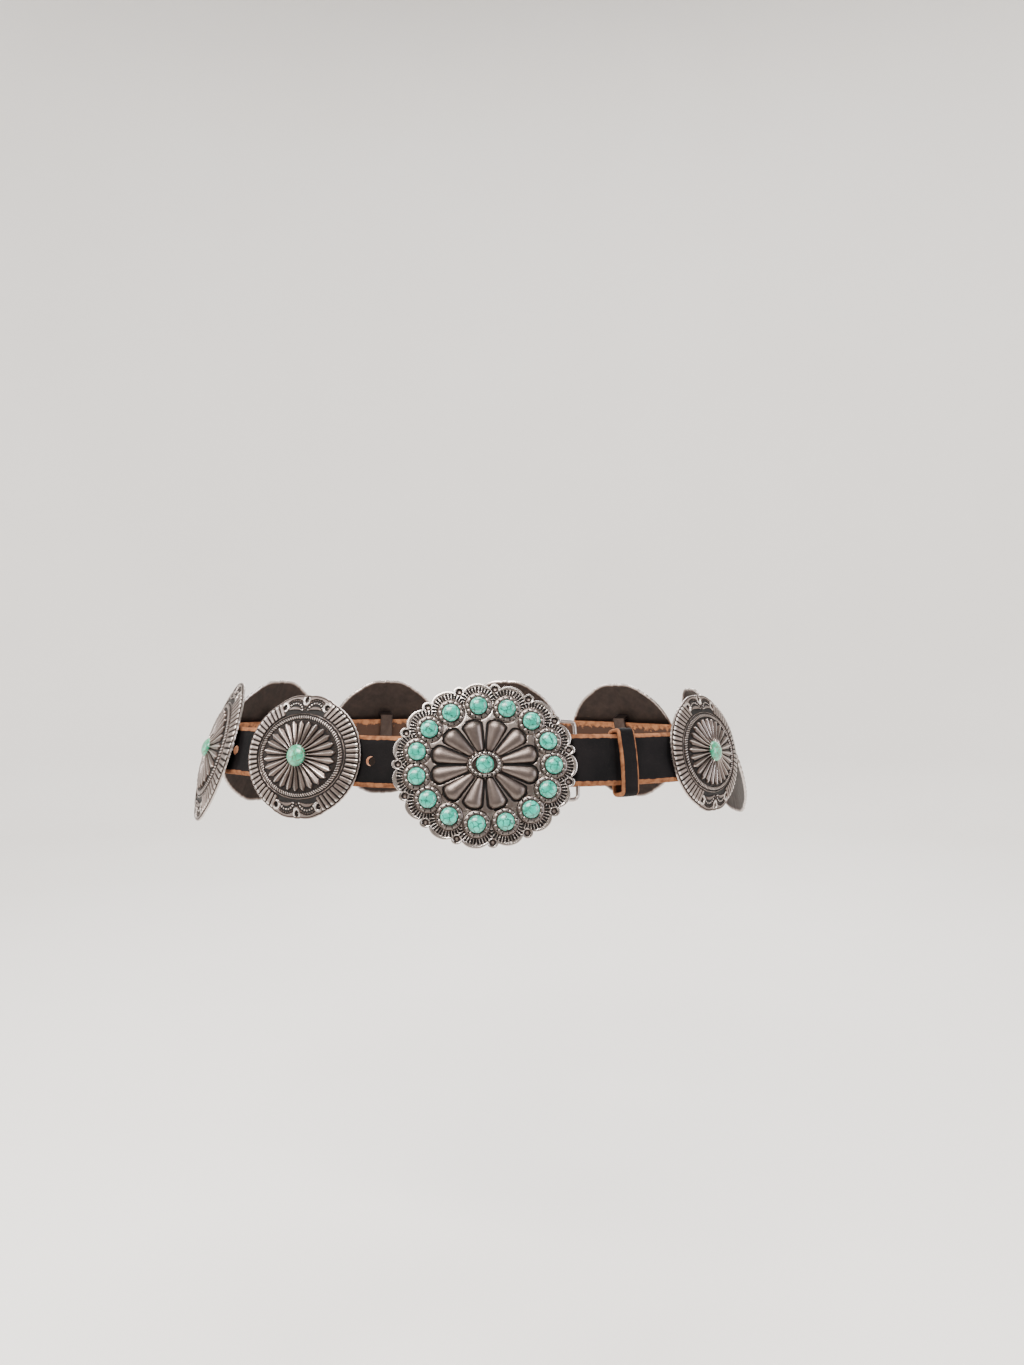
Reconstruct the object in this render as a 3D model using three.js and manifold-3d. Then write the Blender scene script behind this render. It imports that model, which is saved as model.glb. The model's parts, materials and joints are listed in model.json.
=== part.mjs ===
// A concho belt, fastened as it sits round a waist: a black leather strap with a cast oval buckle,
// eight domed conchos and turquoise cabochons. Millimetres, +Z up.
// The origin is the middle of the waist at the strap's half height, and the buckle faces -Y.
// "Along" is the distance round the waist from the buckle's middle, positive towards +X in front.

import * as THREE from 'three';
import { mergeVertices } from 'three/addons/utils/BufferGeometryUtils.js';
import Module from 'manifold-3d';

const wasm = await Module();
wasm.setup();

// The waist that the strap follows, at the middle of the strap's thickness and height
const waistHalfWidth = 147;
const waistHalfDepth = 105;
const buckleToTheRight = 11;

// How far the top of the strap leans in, by the share of the way round from the buckle
const leanRows = [
  { round: 0, degrees: 9 },
  { round: 0.165, degrees: 10 },
  { round: 0.25, degrees: 22 },
  { round: 0.5, degrees: 12 },
  { round: 0.78, degrees: 18 },
  { round: 0.88, degrees: 9 },
  { round: 1, degrees: 9 },
];

// How far the strap rides up at the back and over the hip, by the same share
const backRise = 1.5;
const sideRise = 2.5;
const hipRise = 2.8;
const frontRise = 1.2;
const riseRows = [
  { round: 0, rise: 0 },
  { round: 0.25, rise: 0 },
  { round: 0.5, rise: backRise },
  { round: 0.78, rise: sideRise },
  { round: 0.83, rise: hipRise },
  { round: 0.88, rise: frontRise },
  { round: 0.94, rise: 0 },
  { round: 1, rise: 0 },
];

const clearance = 0.3;

// Strap
const strapWidth = 25.4;
const strapThickness = 3;
const bevelWidth = 2.2;
const bevelDrop = 1.1;
const strapStep = 11;
const slopeSteps = 4;
const flapSteps = 3;
const foldSteps = 8;
const flapLength = 16;
const flapSlope = 12;
const flapRun = 5;
const tailGap = 1;
const flapThickness = 1.6;
const foldThickness = 2;
const layerRun = 13;
const tailEnd = 110;
const holeRadius = 2.4;
const holePitch = 29.3;
const holesLeftOfHook = 4;
const holesRightOfHook = 3;

// Keeper
const keeperAlong = 71;
const keeperWidth = 9.5;
const keeperLeather = 2.2;
const keeperSlack = 2.2;
const keeperBow = 1.6;
const keeperCorner = 1;
const keeperDrop = 1.5;

// Buckle plate and what is cast on it
const buckleHalfWidth = 44.6;
const buckleHalfHeight = 39.8;
const buckleDrop = 1.8;
const buckleCrown = 3.5;
const buckleThickness = 2.2;
const scallops = 15;
const firstScallop = -5.1;
const bezelRingHalfWidth = 33.3;
const bezelRingHalfHeight = 28.5;
const bezelRadius = 6.1;
const bezelTopRadius = 5.2;
const bezelHeight = 2.2;
const buckleStoneRadius = 4.2;
const buckleStoneHeight = 2.3;
const settingHalfWidth = 8.1;
const settingHalfHeight = 6.1;
const settingTopShare = 0.9;
const petals = 12;
const petalFieldHalfWidth = 26.2;
const petalFieldHalfHeight = 21.6;
const petalWidth = 9.2;
const petalHeight = 2.1;
const petalRows = [
  { share: 0.3, width: 0.14, height: 0.4 },
  { share: 0.62, width: 0.62, height: 0.9 },
  { share: 0.86, width: 1, height: 1 },
  { share: 1, width: 0.5, height: 0.2 },
];
const castDepth = 1;

// Buckle fittings
const wireRadius = 1.2;
const loopHeight = 41;
const loopCorner = 3.2;
const heelAlong = 44.5;
const lugInset = 15;
const lugLength = 5;
const lugSpacing = 16;
const lugWall = 1.3;
const hookAlong = -26.7;
const hookRadius = 1.6;
const hookTipRadius = 1.2;
const hookPast = 1.2;

// Conchos: two castings, the smaller beside the buckle and the larger round the sides and back
const smallConcho = { halfWidth: 34.1, halfHeight: 30.4, crown: 5.8, stoneRadius: 5.5 };
const largeConcho = { halfWidth: 38, halfHeight: 39, crown: 6.6, stoneRadius: 5.5 };
const conchoPetals = 26;
const conchoWall = 1.6;
const conchoRim = 1.3;
const stoneShare = 0.17;
const petalShare = 0.6;
const ropeShare = 0.72;
const hollowShare = 0.62;
const petalRib = 0.45;
const ropeLift = 0.9;
const fluteRib = 0.4;
const fanSpan = 26;
const fanReach = 0.03;
const conchoStoneHeight = 3.6;
const stapleWidth = 8;
const stapleBar = 1.6;
const stapleSlack = 2.4;
const seatSamples = 32;

// Where the conchos sit, from the buckle's left round the back to its right
const frontLeftAlong = -94.5;
const sideLeftAlong = -178;
const sideRightAlong = 199;
const frontRightAlong = 130;
const conchosAtTheBack = 4;
const frontLeftRaise = 0.4;
const sideLeftRaise = -1.5;
const sideRightRaise = -1;
const frontRightRaise = 1;

// Facets
const stoneSides = 8;
const bezelSides = 8;
const plateMiddleRing = 0.5;
const wireSides = 6;
const wireBendSteps = 3;
const holeSides = 12;
const waistDivisions = 2000;

const silver = { color: 0x8d8781, roughness: 0.35, metalness: 1 };
const turquoise = { color: 0x4fc9ae, roughness: 0.3, metalness: 0 };
const blackLeather = { color: 0x231f22, roughness: 0.6, metalness: 0 };

const belt = new THREE.Group();

function addPiece(name, geometry, finish) {
  const mesh = new THREE.Mesh(geometry, new THREE.MeshStandardMaterial(finish));
  mesh.name = name;
  belt.add(mesh);
  return mesh;
}

// Joins rings of points into one closed skin. A ring of one point is a pole. A looped skin joins its
// last ring to its first.
function skin(rings, looped = false) {
  const starts = [];
  const positions = [];
  for (const ring of rings) {
    starts.push(positions.length / 3);
    ring.forEach((point) => positions.push(point.x, point.y, point.z));
  }
  const triangles = [];
  const bands = looped ? rings.length : rings.length - 1;
  for (let band = 0; band < bands; band += 1) {
    const next = (band + 1) % rings.length;
    const here = (k) => starts[band] + (k % rings[band].length);
    const there = (k) => starts[next] + (k % rings[next].length);
    const sides = Math.max(rings[band].length, rings[next].length);
    for (let k = 0; k < sides; k += 1) {
      if (rings[band].length > 1) triangles.push([here(k), here(k + 1), there(k)]);
      if (rings[next].length > 1) triangles.push([here(k + 1), there(k + 1), there(k)]);
    }
  }
  const point = (k) => new THREE.Vector3().fromArray(positions, k * 3);
  const volume = triangles.reduce(
    (sum, [a, b, c]) => sum + point(a).dot(point(b).cross(point(c))), 0);
  const facingOut = volume > 0 ? triangles : triangles.map(([a, b, c]) => [a, c, b]);
  const geometry = new THREE.BufferGeometry();
  geometry.setAttribute('position', new THREE.Float32BufferAttribute(positions, 3));
  geometry.setIndex(facingOut.flat());
  return geometry;
}

function toSolid(geometry) {
  const bare = geometry.clone();
  bare.deleteAttribute('normal');
  bare.deleteAttribute('uv');
  const merged = mergeVertices(bare);
  return new wasm.Manifold(new wasm.Mesh({
    numProp: 3,
    vertProperties: new Float32Array(merged.attributes.position.array),
    triVerts: new Uint32Array(merged.index.array),
  }));
}

function toGeometry(solid) {
  const mesh = solid.getMesh();
  const geometry = new THREE.BufferGeometry();
  geometry.setAttribute('position', new THREE.Float32BufferAttribute(mesh.vertProperties, 3));
  geometry.setIndex(new THREE.Uint32BufferAttribute(mesh.triVerts, 1));
  return geometry;
}

function smooth(rows, at, value, position) {
  let row = 0;
  while (row < rows.length - 2 && position > rows[row + 1][at]) row += 1;
  const reach = rows[row + 1][at] - rows[row][at];
  const share = THREE.MathUtils.clamp((position - rows[row][at]) / reach, 0, 1);
  return THREE.MathUtils.lerp(rows[row][value], rows[row + 1][value],
    THREE.MathUtils.smoothstep(share, 0, 1));
}

// The waist's oval, starting at the buckle's middle
class Waist extends THREE.Curve {
  getPoint(share, target = new THREE.Vector3()) {
    const turn = Math.asin(buckleToTheRight / waistHalfWidth) + share * 2 * Math.PI;
    return target.set(waistHalfWidth * Math.sin(turn), -waistHalfDepth * Math.cos(turn), 0);
  }
}
const waist = new Waist();
waist.arcLengthDivisions = waistDivisions;
const waistLength = waist.getLength();

// The strap's own directions at a place round the waist: forward, up its width and out of its face
function directions(along) {
  const round = ((along / waistLength) % 1 + 1) % 1;
  const forward = waist.getTangentAt(round);
  const outwards = new THREE.Vector3(forward.y, -forward.x, 0);
  const lean = THREE.MathUtils.degToRad(smooth(leanRows, 'round', 'degrees', round));
  const up = new THREE.Vector3(0, 0, Math.cos(lean)).addScaledVector(outwards, -Math.sin(lean));
  const face = outwards.clone().multiplyScalar(Math.cos(lean)).setZ(Math.sin(lean));
  return { round, forward, up, face };
}

function place(along, offset, height) {
  const { round, up, face } = directions(along);
  return waist.getPointAt(round).setZ(smooth(riseRows, 'round', 'rise', round))
    .addScaledVector(face, offset).addScaledVector(up, height);
}

function frameAt(along, offset, height) {
  const { forward, up, face } = directions(along);
  return new THREE.Matrix4().makeBasis(forward, up, face).setPosition(place(along, offset, height));
}

// The layers right of the buckle: the tail inside, the folded flap on it, and the outer layer
const flapOffset = strapThickness / 2 + clearance + flapThickness / 2;
const barOffset = flapOffset + flapThickness / 2 + clearance + wireRadius;
const foldGap = wireRadius + clearance;
const foldOffset = barOffset + foldGap + foldThickness / 2;
const flapStack = flapOffset + flapThickness / 2 + clearance + strapThickness / 2;
const tailStack = strapThickness + clearance;
const flapEnd = heelAlong + flapLength;
const outerLayer = [
  { along: heelAlong, offset: foldOffset, thickness: foldThickness },
  { along: heelAlong + flapSlope, offset: flapStack, thickness: strapThickness },
  { along: flapEnd, offset: flapStack, thickness: strapThickness },
  { along: flapEnd + flapRun, offset: tailStack, thickness: strapThickness },
  { along: tailEnd + tailGap, offset: tailStack, thickness: strapThickness },
  { along: tailEnd + tailGap + layerRun, offset: 0, thickness: strapThickness },
  { along: waistLength + tailEnd, offset: 0, thickness: strapThickness },
];
const layerOffset = (along) => smooth(outerLayer, 'along', 'offset', along);
const layerThickness = (along) => smooth(outerLayer, 'along', 'thickness', along);

// One section of the strap. Turn is 0 where it runs forward with its face out, and 180 on the flap.
function strapSection(along, offset, turn, thickness) {
  const { forward, up, face } = directions(along);
  const grain = face.clone().multiplyScalar(Math.cos(turn)).addScaledVector(forward, -Math.sin(turn));
  const middle = place(along, offset, 0);
  const half = strapWidth / 2;
  const corners = [
    [-half + bevelWidth, thickness / 2],
    [half - bevelWidth, thickness / 2],
    [half, thickness / 2 - bevelDrop * thickness / strapThickness],
    [half, -thickness / 2],
    [-half, -thickness / 2],
    [-half, thickness / 2 - bevelDrop * thickness / strapThickness],
  ];
  return corners.map(([height, out]) => (
    middle.clone().addScaledVector(up, height).addScaledVector(grain, out)));
}

function buildStrap() {
  const rings = [];
  for (let step = 0; step < flapSteps; step += 1) {
    const along = flapEnd - flapLength * step / flapSteps;
    rings.push(strapSection(along, flapOffset, Math.PI, flapThickness));
  }
  for (let step = 0; step <= foldSteps; step += 1) {
    const turn = Math.PI * (1 - step / foldSteps);
    const thickness = THREE.MathUtils.lerp(flapThickness, foldThickness, step / foldSteps);
    const reach = foldGap + thickness / 2;
    rings.push(strapSection(
      heelAlong - reach * Math.sin(turn), barOffset + reach * Math.cos(turn), turn, thickness));
  }
  for (let row = 0; row < outerLayer.length - 1; row += 1) {
    const start = outerLayer[row];
    const end = outerLayer[row + 1];
    const slopes = start.offset !== end.offset;
    const steps = slopes ? slopeSteps : Math.ceil((end.along - start.along) / strapStep);
    for (let step = 1; step <= steps; step += 1) {
      const along = THREE.MathUtils.lerp(start.along, end.along, step / steps);
      rings.push(strapSection(along, layerOffset(along), 0, layerThickness(along)));
    }
  }
  const middle = (ring) => ring.reduce((sum, p) => sum.add(p), new THREE.Vector3())
    .divideScalar(ring.length);
  const closed = [[middle(rings[0])], ...rings, [middle(rings[rings.length - 1])]];
  let strap = toSolid(skin(closed));
  for (let hole = -holesLeftOfHook; hole <= holesRightOfHook; hole += 1) {
    const along = hookAlong + hole * holePitch;
    const punch = new THREE.CylinderGeometry(
      holeRadius, holeRadius, strapThickness + clearance, holeSides);
    punch.rotateX(Math.PI / 2);
    punch.applyMatrix4(frameAt(along, 0, 0));
    strap = strap.subtract(toSolid(punch));
  }
  return toGeometry(strap);
}
addPiece('strap', buildStrap(), blackLeather);

// Keeper: a leather band round both layers, bowed in front
function keeperOutline(path, grow) {
  const half = strapWidth / 2 + keeperSlack + grow;
  const front = tailStack + strapThickness / 2 + clearance + grow;
  const back = -strapThickness / 2 - clearance - grow;
  const corner = keeperCorner + grow;
  path.moveTo(-half, back + corner);
  path.quadraticCurveTo(-half, back, -half + corner, back);
  path.lineTo(half - corner, back);
  path.quadraticCurveTo(half, back, half, back + corner);
  path.lineTo(half, front - corner / 2);
  path.quadraticCurveTo(half, front, half - corner, front + keeperBow / 2);
  path.quadraticCurveTo(0, front + 2 * keeperBow, -half + corner, front + keeperBow / 2);
  path.quadraticCurveTo(-half, front, -half, front - corner / 2);
  path.closePath();
  return path;
}

function buildKeeper() {
  const outline = keeperOutline(new THREE.Shape(), keeperLeather);
  outline.holes.push(keeperOutline(new THREE.Path(), 0));
  const band = new THREE.ExtrudeGeometry(outline, {
    depth: keeperWidth, bevelEnabled: false, curveSegments: 4,
  });
  band.translate(0, 0, -keeperWidth / 2);
  const { forward, up, face } = directions(keeperAlong);
  const stand = new THREE.Matrix4().makeBasis(up, face, forward);
  band.applyMatrix4(stand.setPosition(place(keeperAlong, 0, -keeperDrop)));
  return band;
}
addPiece('keeper', buildKeeper(), blackLeather);

// A domed cabochon with a flat base, its base at the origin
function cabochon(radius, height) {
  const profile = [
    [0, 0], [radius, 0], [radius * 0.8, height * 0.65], [0, height],
  ];
  return new THREE.LatheGeometry(profile.map(([x, y]) => new THREE.Vector2(x, y)), stoneSides)
    .rotateX(Math.PI / 2);
}

// Buckle plate: a scalloped oval, lightly domed, in a frame of its own with +Z out of its face
const heelBar = place(heelAlong, barOffset, 0);
const buckleBase = frameAt(0, 0, -buckleDrop);
const toBuckle = buckleBase.clone().invert();
const foldFace = place(heelAlong, foldOffset + foldThickness / 2, 0).applyMatrix4(toBuckle);
const plateBack = foldFace.z + clearance;
const plateTop = plateBack + buckleThickness;
const domeAt = (x, y) => (
  buckleCrown * (1 - (x / buckleHalfWidth) ** 2 - (y / buckleHalfHeight) ** 2));

// One scallop and the bump beside it, by the share of a scallop's turn, as a share of the oval
const scallopRows = [
  { turn: 0, reach: 1 },
  { turn: 0.2, reach: 0.985 },
  { turn: 0.36, reach: 0.94 },
  { turn: 0.5, reach: 0.985 },
  { turn: 0.64, reach: 0.94 },
  { turn: 0.8, reach: 0.985 },
];

const ovalPoint = (halfWidth, halfHeight, degrees) => {
  const turn = THREE.MathUtils.degToRad(degrees);
  return new THREE.Vector2(halfWidth * Math.sin(turn), halfHeight * Math.cos(turn));
};

function plateRing(share, bottom) {
  const ring = [];
  for (let scallop = 0; scallop < scallops; scallop += 1) {
    for (const row of scallopRows) {
      const degrees = firstScallop + (scallop + row.turn) * 360 / scallops;
      const point = ovalPoint(buckleHalfWidth, buckleHalfHeight, degrees)
        .multiplyScalar(row.reach * share);
      ring.push(new THREE.Vector3(point.x, point.y, bottom + domeAt(point.x, point.y)));
    }
  }
  return ring;
}

function petalSolid(degrees) {
  const tip = ovalPoint(petalFieldHalfWidth, petalFieldHalfHeight, degrees);
  const across = new THREE.Vector2(tip.y, -tip.x).normalize();
  const arch = [[-0.5, -1], [-0.5, 0.1], [0, 1], [0.5, 0.1], [0.5, -1]];
  const rings = petalRows.map((row) => arch.map(([side, rise]) => {
    const x = tip.x * row.share + across.x * side * row.width * petalWidth;
    const y = tip.y * row.share + across.y * side * row.width * petalWidth;
    const lift = rise > 0 ? rise * row.height * petalHeight : rise * castDepth;
    return new THREE.Vector3(x, y, plateTop + domeAt(x, y) + lift);
  }));
  const middle = (ring) => ring.reduce((sum, p) => sum.add(p), new THREE.Vector3())
    .divideScalar(ring.length);
  return toSolid(skin([[middle(rings[0])], ...rings, [middle(rings[rings.length - 1])]]));
}

function raisedSeat(halfWidth, halfHeight, topShare, x, y) {
  const profile = [[0, -castDepth], [1, -castDepth], [topShare, bezelHeight], [0, bezelHeight]];
  const seat = new THREE.LatheGeometry(
    profile.map(([out, rise]) => new THREE.Vector2(out, rise)), bezelSides).rotateX(Math.PI / 2);
  seat.scale(halfWidth, halfHeight, 1);
  seat.translate(x, y, plateTop + domeAt(x, y));
  return toSolid(seat);
}

const bezelSpots = Array.from({ length: scallops }, (_, stone) => (
  ovalPoint(bezelRingHalfWidth, bezelRingHalfHeight, firstScallop + stone * 360 / scallops)));

// The wire of the heel loop runs through the lugs inside the plate and through the strap's fold
const barEnd = loopHeight / 2 - wireRadius;
const barTop = place(heelAlong, barOffset, barEnd);
const barBottom = place(heelAlong, barOffset, -barEnd);
const barInPlate = heelBar.clone().applyMatrix4(toBuckle);
const lugX = barInPlate.x - lugInset;
const lugZ = plateBack + domeAt(lugX, 0) - wireRadius - clearance - lugWall / 2;
const lugY = barInPlate.y;

function buildBucklePlate() {
  const edgeRings = [
    [new THREE.Vector3(0, 0, plateTop + domeAt(0, 0))],
    plateRing(plateMiddleRing, plateTop),
    plateRing(1, plateTop),
    plateRing(1, plateBack),
    plateRing(plateMiddleRing, plateBack),
    [new THREE.Vector3(0, 0, plateBack + domeAt(0, 0))],
  ];
  let plate = toSolid(skin(edgeRings));
  for (const spot of bezelSpots) {
    plate = plate.add(
      raisedSeat(bezelRadius, bezelRadius, bezelTopRadius / bezelRadius, spot.x, spot.y));
  }
  for (let petal = 0; petal < petals; petal += 1) {
    plate = plate.add(petalSolid((petal + 0.5) * 360 / petals));
  }
  plate = plate.add(raisedSeat(settingHalfWidth, settingHalfHeight, settingTopShare, 0, 0));

  for (const side of [-1, 1]) {
    const lug = new THREE.CylinderGeometry(
      wireRadius + clearance + lugWall, wireRadius + clearance + lugWall, lugLength, holeSides);
    lug.translate(lugX, lugY + side * lugSpacing / 2, lugZ);
    plate = plate.add(toSolid(lug));
  }
  const bore = new THREE.CylinderGeometry(
    wireRadius + clearance, wireRadius + clearance, lugSpacing + 2 * lugLength, holeSides);
  bore.translate(lugX, lugY, lugZ);
  plate = plate.subtract(toSolid(bore));

  const hookPlace = place(hookAlong, 0, 0).applyMatrix4(toBuckle);
  const hookTop = plateBack + domeAt(hookPlace.x, 0) + castDepth;
  const hookTip = hookPlace.z - strapThickness / 2 - hookPast;
  const hook = new THREE.CylinderGeometry(
    hookRadius, hookTipRadius, hookTop - hookTip, bezelSides);
  hook.rotateX(Math.PI / 2);
  hook.translate(hookPlace.x, hookPlace.y, (hookTop + hookTip) / 2);
  plate = plate.add(toSolid(hook));
  return toGeometry(plate);
}
addPiece('buckle_plate', buildBucklePlate(), silver).applyMatrix4(buckleBase);

// Heel loop: a closed wire, flat but for its slope from the lugs down to the fold
function buildHeelLoop() {
  const inBuckle = (x, y, z) => new THREE.Vector3(x, y, z).applyMatrix4(buckleBase);
  const corners = [
    inBuckle(lugX, lugY + barEnd, lugZ), barTop, barBottom, inBuckle(lugX, lugY - barEnd, lugZ),
  ];
  const route = [];
  corners.forEach((corner, k) => {
    const before = corners[(k + 3) % 4];
    const after = corners[(k + 1) % 4];
    const start = corner.clone().lerp(before, loopCorner / corner.distanceTo(before));
    const end = corner.clone().lerp(after, loopCorner / corner.distanceTo(after));
    const bend = new THREE.QuadraticBezierCurve3(start, corner, end);
    route.push(...bend.getPoints(wireBendSteps));
  });
  const square = new THREE.Vector3().subVectors(corners[1], corners[0])
    .cross(new THREE.Vector3().subVectors(corners[3], corners[0])).normalize();
  const rings = route.map((point, k) => {
    const before = route[(k + route.length - 1) % route.length];
    const after = route[(k + 1) % route.length];
    const side = new THREE.Vector3().subVectors(after, before).normalize().cross(square).normalize();
    return Array.from({ length: wireSides }, (_, s) => {
      const turn = s * 2 * Math.PI / wireSides;
      return point.clone().addScaledVector(side, wireRadius * Math.cos(turn))
        .addScaledVector(square, wireRadius * Math.sin(turn));
    });
  });
  return skin(rings, true);
}
addPiece('heel_loop', buildHeelLoop(), silver);

const stoneLift = plateTop + bezelHeight + clearance;
bezelSpots.forEach((spot, k) => {
  const stone = cabochon(buckleStoneRadius, buckleStoneHeight);
  stone.translate(spot.x, spot.y, stoneLift + domeAt(spot.x, spot.y));
  addPiece(`buckle_stone_${k + 1}`, stone, turquoise).applyMatrix4(buckleBase);
});
const centreStone = cabochon(buckleStoneRadius, buckleStoneHeight);
centreStone.translate(0, 0, stoneLift + domeAt(0, 0));
addPiece('buckle_stone_centre', centreStone, turquoise).applyMatrix4(buckleBase);

// The hollow back of a concho, as heights above its rim by the share of its radius
const hollowAt = (size, share) => {
  const top = size.crown - conchoWall;
  const shoulder = top - (size.crown - conchoRim) * hollowShare ** 2;
  return share < hollowShare
    ? THREE.MathUtils.lerp(top, shoulder, share / hollowShare)
    : THREE.MathUtils.lerp(shoulder, 0, (share - hollowShare) / (1 - hollowShare));
};

// The rim swells into two fans at the top and two at the bottom
function rimReach(degrees) {
  const fromEnd = Math.abs(degrees - 180 * Math.round(degrees / 180));
  return fromEnd < fanSpan ? 1 + fanReach * Math.abs(Math.sin(Math.PI * fromEnd / fanSpan)) : 1;
}

function conchoRing(size, share, height, rib, fans) {
  const sides = conchoPetals * 2;
  return Array.from({ length: sides }, (_, k) => {
    const degrees = k * 360 / sides;
    const point = ovalPoint(size.halfWidth, size.halfHeight, degrees)
      .multiplyScalar(share * (fans ? rimReach(degrees) : 1));
    return new THREE.Vector3(point.x, point.y, height + (k % 2 ? -rib : rib));
  });
}

// How far the rim's plane stands from the strap's face, so that the hollow back rests on the strap
function conchoStand(size, along, raise) {
  const seat = frameAt(along, strapThickness / 2, raise);
  const intoSeat = seat.clone().invert();
  let stand = -size.crown;
  for (let sample = 0; sample <= seatSamples; sample += 1) {
    const run = THREE.MathUtils.lerp(-size.halfWidth, size.halfWidth, sample / seatSamples);
    for (const height of [-strapWidth / 2, 0, strapWidth / 2]) {
      const spot = along + run;
      const face = place(spot, layerOffset(spot) + strapThickness / 2, height).applyMatrix4(intoSeat);
      const share = Math.hypot(face.x / size.halfWidth, face.y / size.halfHeight);
      if (share <= 1) {
        stand = Math.max(stand, face.z + clearance - hollowAt(size, share));
      }
    }
  }
  return stand;
}

function buildConcho(size, stand) {
  const dome = (share) => conchoRim + (size.crown - conchoRim) * (1 - share ** 2);
  const rings = [
    [new THREE.Vector3(0, 0, size.crown)],
    conchoRing(size, stoneShare, size.crown, 0, false),
    conchoRing(size, petalShare, dome(petalShare), petalRib, false),
    conchoRing(size, ropeShare, dome(ropeShare) + ropeLift, 0, false),
    conchoRing(size, 1, conchoRim, fluteRib, true),
    conchoRing(size, 1, 0, 0, true),
    conchoRing(size, hollowShare, hollowAt(size, hollowShare), 0, false),
    [new THREE.Vector3(0, 0, hollowAt(size, 0))],
  ];
  let concho = toSolid(skin(rings));

  // The strap passes between the hollow back and the bar of the staple
  const barFront = -stand - strapThickness - 2 * clearance;
  const legMiddle = strapWidth / 2 + stapleSlack + stapleBar / 2;
  const legTop = hollowAt(size, legMiddle / size.halfHeight) + conchoWall / 2;
  const bar = new THREE.BoxGeometry(stapleWidth, 2 * legMiddle + stapleBar, stapleBar);
  bar.translate(0, 0, barFront - stapleBar / 2);
  concho = concho.add(toSolid(bar));
  for (const side of [-1, 1]) {
    const leg = new THREE.BoxGeometry(stapleWidth, stapleBar, legTop - barFront + stapleBar);
    leg.translate(0, side * legMiddle, (legTop + barFront - stapleBar) / 2);
    concho = concho.add(toSolid(leg));
  }
  return toGeometry(concho);
}

const backRun = waistLength + sideLeftAlong - sideRightAlong;
const backPitch = backRun / (conchosAtTheBack + 1);
const conchoPlaces = [
  { along: frontLeftAlong, raise: frontLeftRaise, size: smallConcho },
  { along: sideLeftAlong, raise: sideLeftRaise, size: largeConcho },
];
for (let back = 1; back <= conchosAtTheBack; back += 1) {
  conchoPlaces.push({ along: sideLeftAlong - back * backPitch, raise: 0, size: largeConcho });
}
conchoPlaces.push({ along: sideRightAlong, raise: sideRightRaise, size: largeConcho });
conchoPlaces.push({ along: frontRightAlong, raise: frontRightRaise, size: smallConcho });

conchoPlaces.forEach(({ along, raise, size }, k) => {
  const onward = along < heelAlong ? along + waistLength : along;
  const stand = conchoStand(size, onward, raise);
  const seat = frameAt(onward, strapThickness / 2 + stand, raise);
  addPiece(`concho_${k + 1}`, buildConcho(size, stand), silver).applyMatrix4(seat);
  const stone = cabochon(size.stoneRadius, conchoStoneHeight);
  stone.translate(0, 0, size.crown + clearance);
  addPiece(`concho_stone_${k + 1}`, stone, turquoise).applyMatrix4(seat);
});

export default belt;
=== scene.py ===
import json
import math

import bpy
import numpy as np
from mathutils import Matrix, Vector, noise

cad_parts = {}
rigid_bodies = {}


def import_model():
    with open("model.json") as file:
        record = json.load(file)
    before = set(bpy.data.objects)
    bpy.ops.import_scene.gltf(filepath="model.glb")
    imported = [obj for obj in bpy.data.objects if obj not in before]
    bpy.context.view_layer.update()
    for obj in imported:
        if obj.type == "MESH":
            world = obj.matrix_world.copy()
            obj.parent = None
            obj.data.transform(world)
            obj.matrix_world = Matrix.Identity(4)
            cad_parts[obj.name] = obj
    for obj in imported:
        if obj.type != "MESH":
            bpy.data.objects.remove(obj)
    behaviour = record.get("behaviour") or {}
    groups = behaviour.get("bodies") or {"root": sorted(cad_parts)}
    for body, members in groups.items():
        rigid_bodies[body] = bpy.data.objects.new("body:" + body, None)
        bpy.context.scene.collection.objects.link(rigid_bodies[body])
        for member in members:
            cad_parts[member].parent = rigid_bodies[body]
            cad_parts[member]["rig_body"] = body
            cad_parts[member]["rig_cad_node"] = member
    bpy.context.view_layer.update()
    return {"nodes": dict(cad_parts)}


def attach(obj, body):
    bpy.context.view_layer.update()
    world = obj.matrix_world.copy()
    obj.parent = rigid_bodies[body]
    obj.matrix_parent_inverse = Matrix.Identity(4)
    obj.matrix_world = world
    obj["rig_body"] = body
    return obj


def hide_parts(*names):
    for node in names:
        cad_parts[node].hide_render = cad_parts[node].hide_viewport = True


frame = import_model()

MM = 0.001

# Camera: level, a forearm's length in front of the belt and a little above it, as a phone is held
camera_place = Vector((24.5, -605, 39)) * MM
sensor_width, focal_length = 36, 27
camera_data = bpy.data.cameras.new("camera")
camera_data.sensor_width, camera_data.lens = sensor_width, focal_length
camera = bpy.data.objects.new("camera", camera_data)
camera.location = camera_place
camera.rotation_euler = (math.pi / 2, 0, 0)
bpy.context.scene.collection.objects.link(camera)
bpy.context.scene.camera = camera


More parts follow.
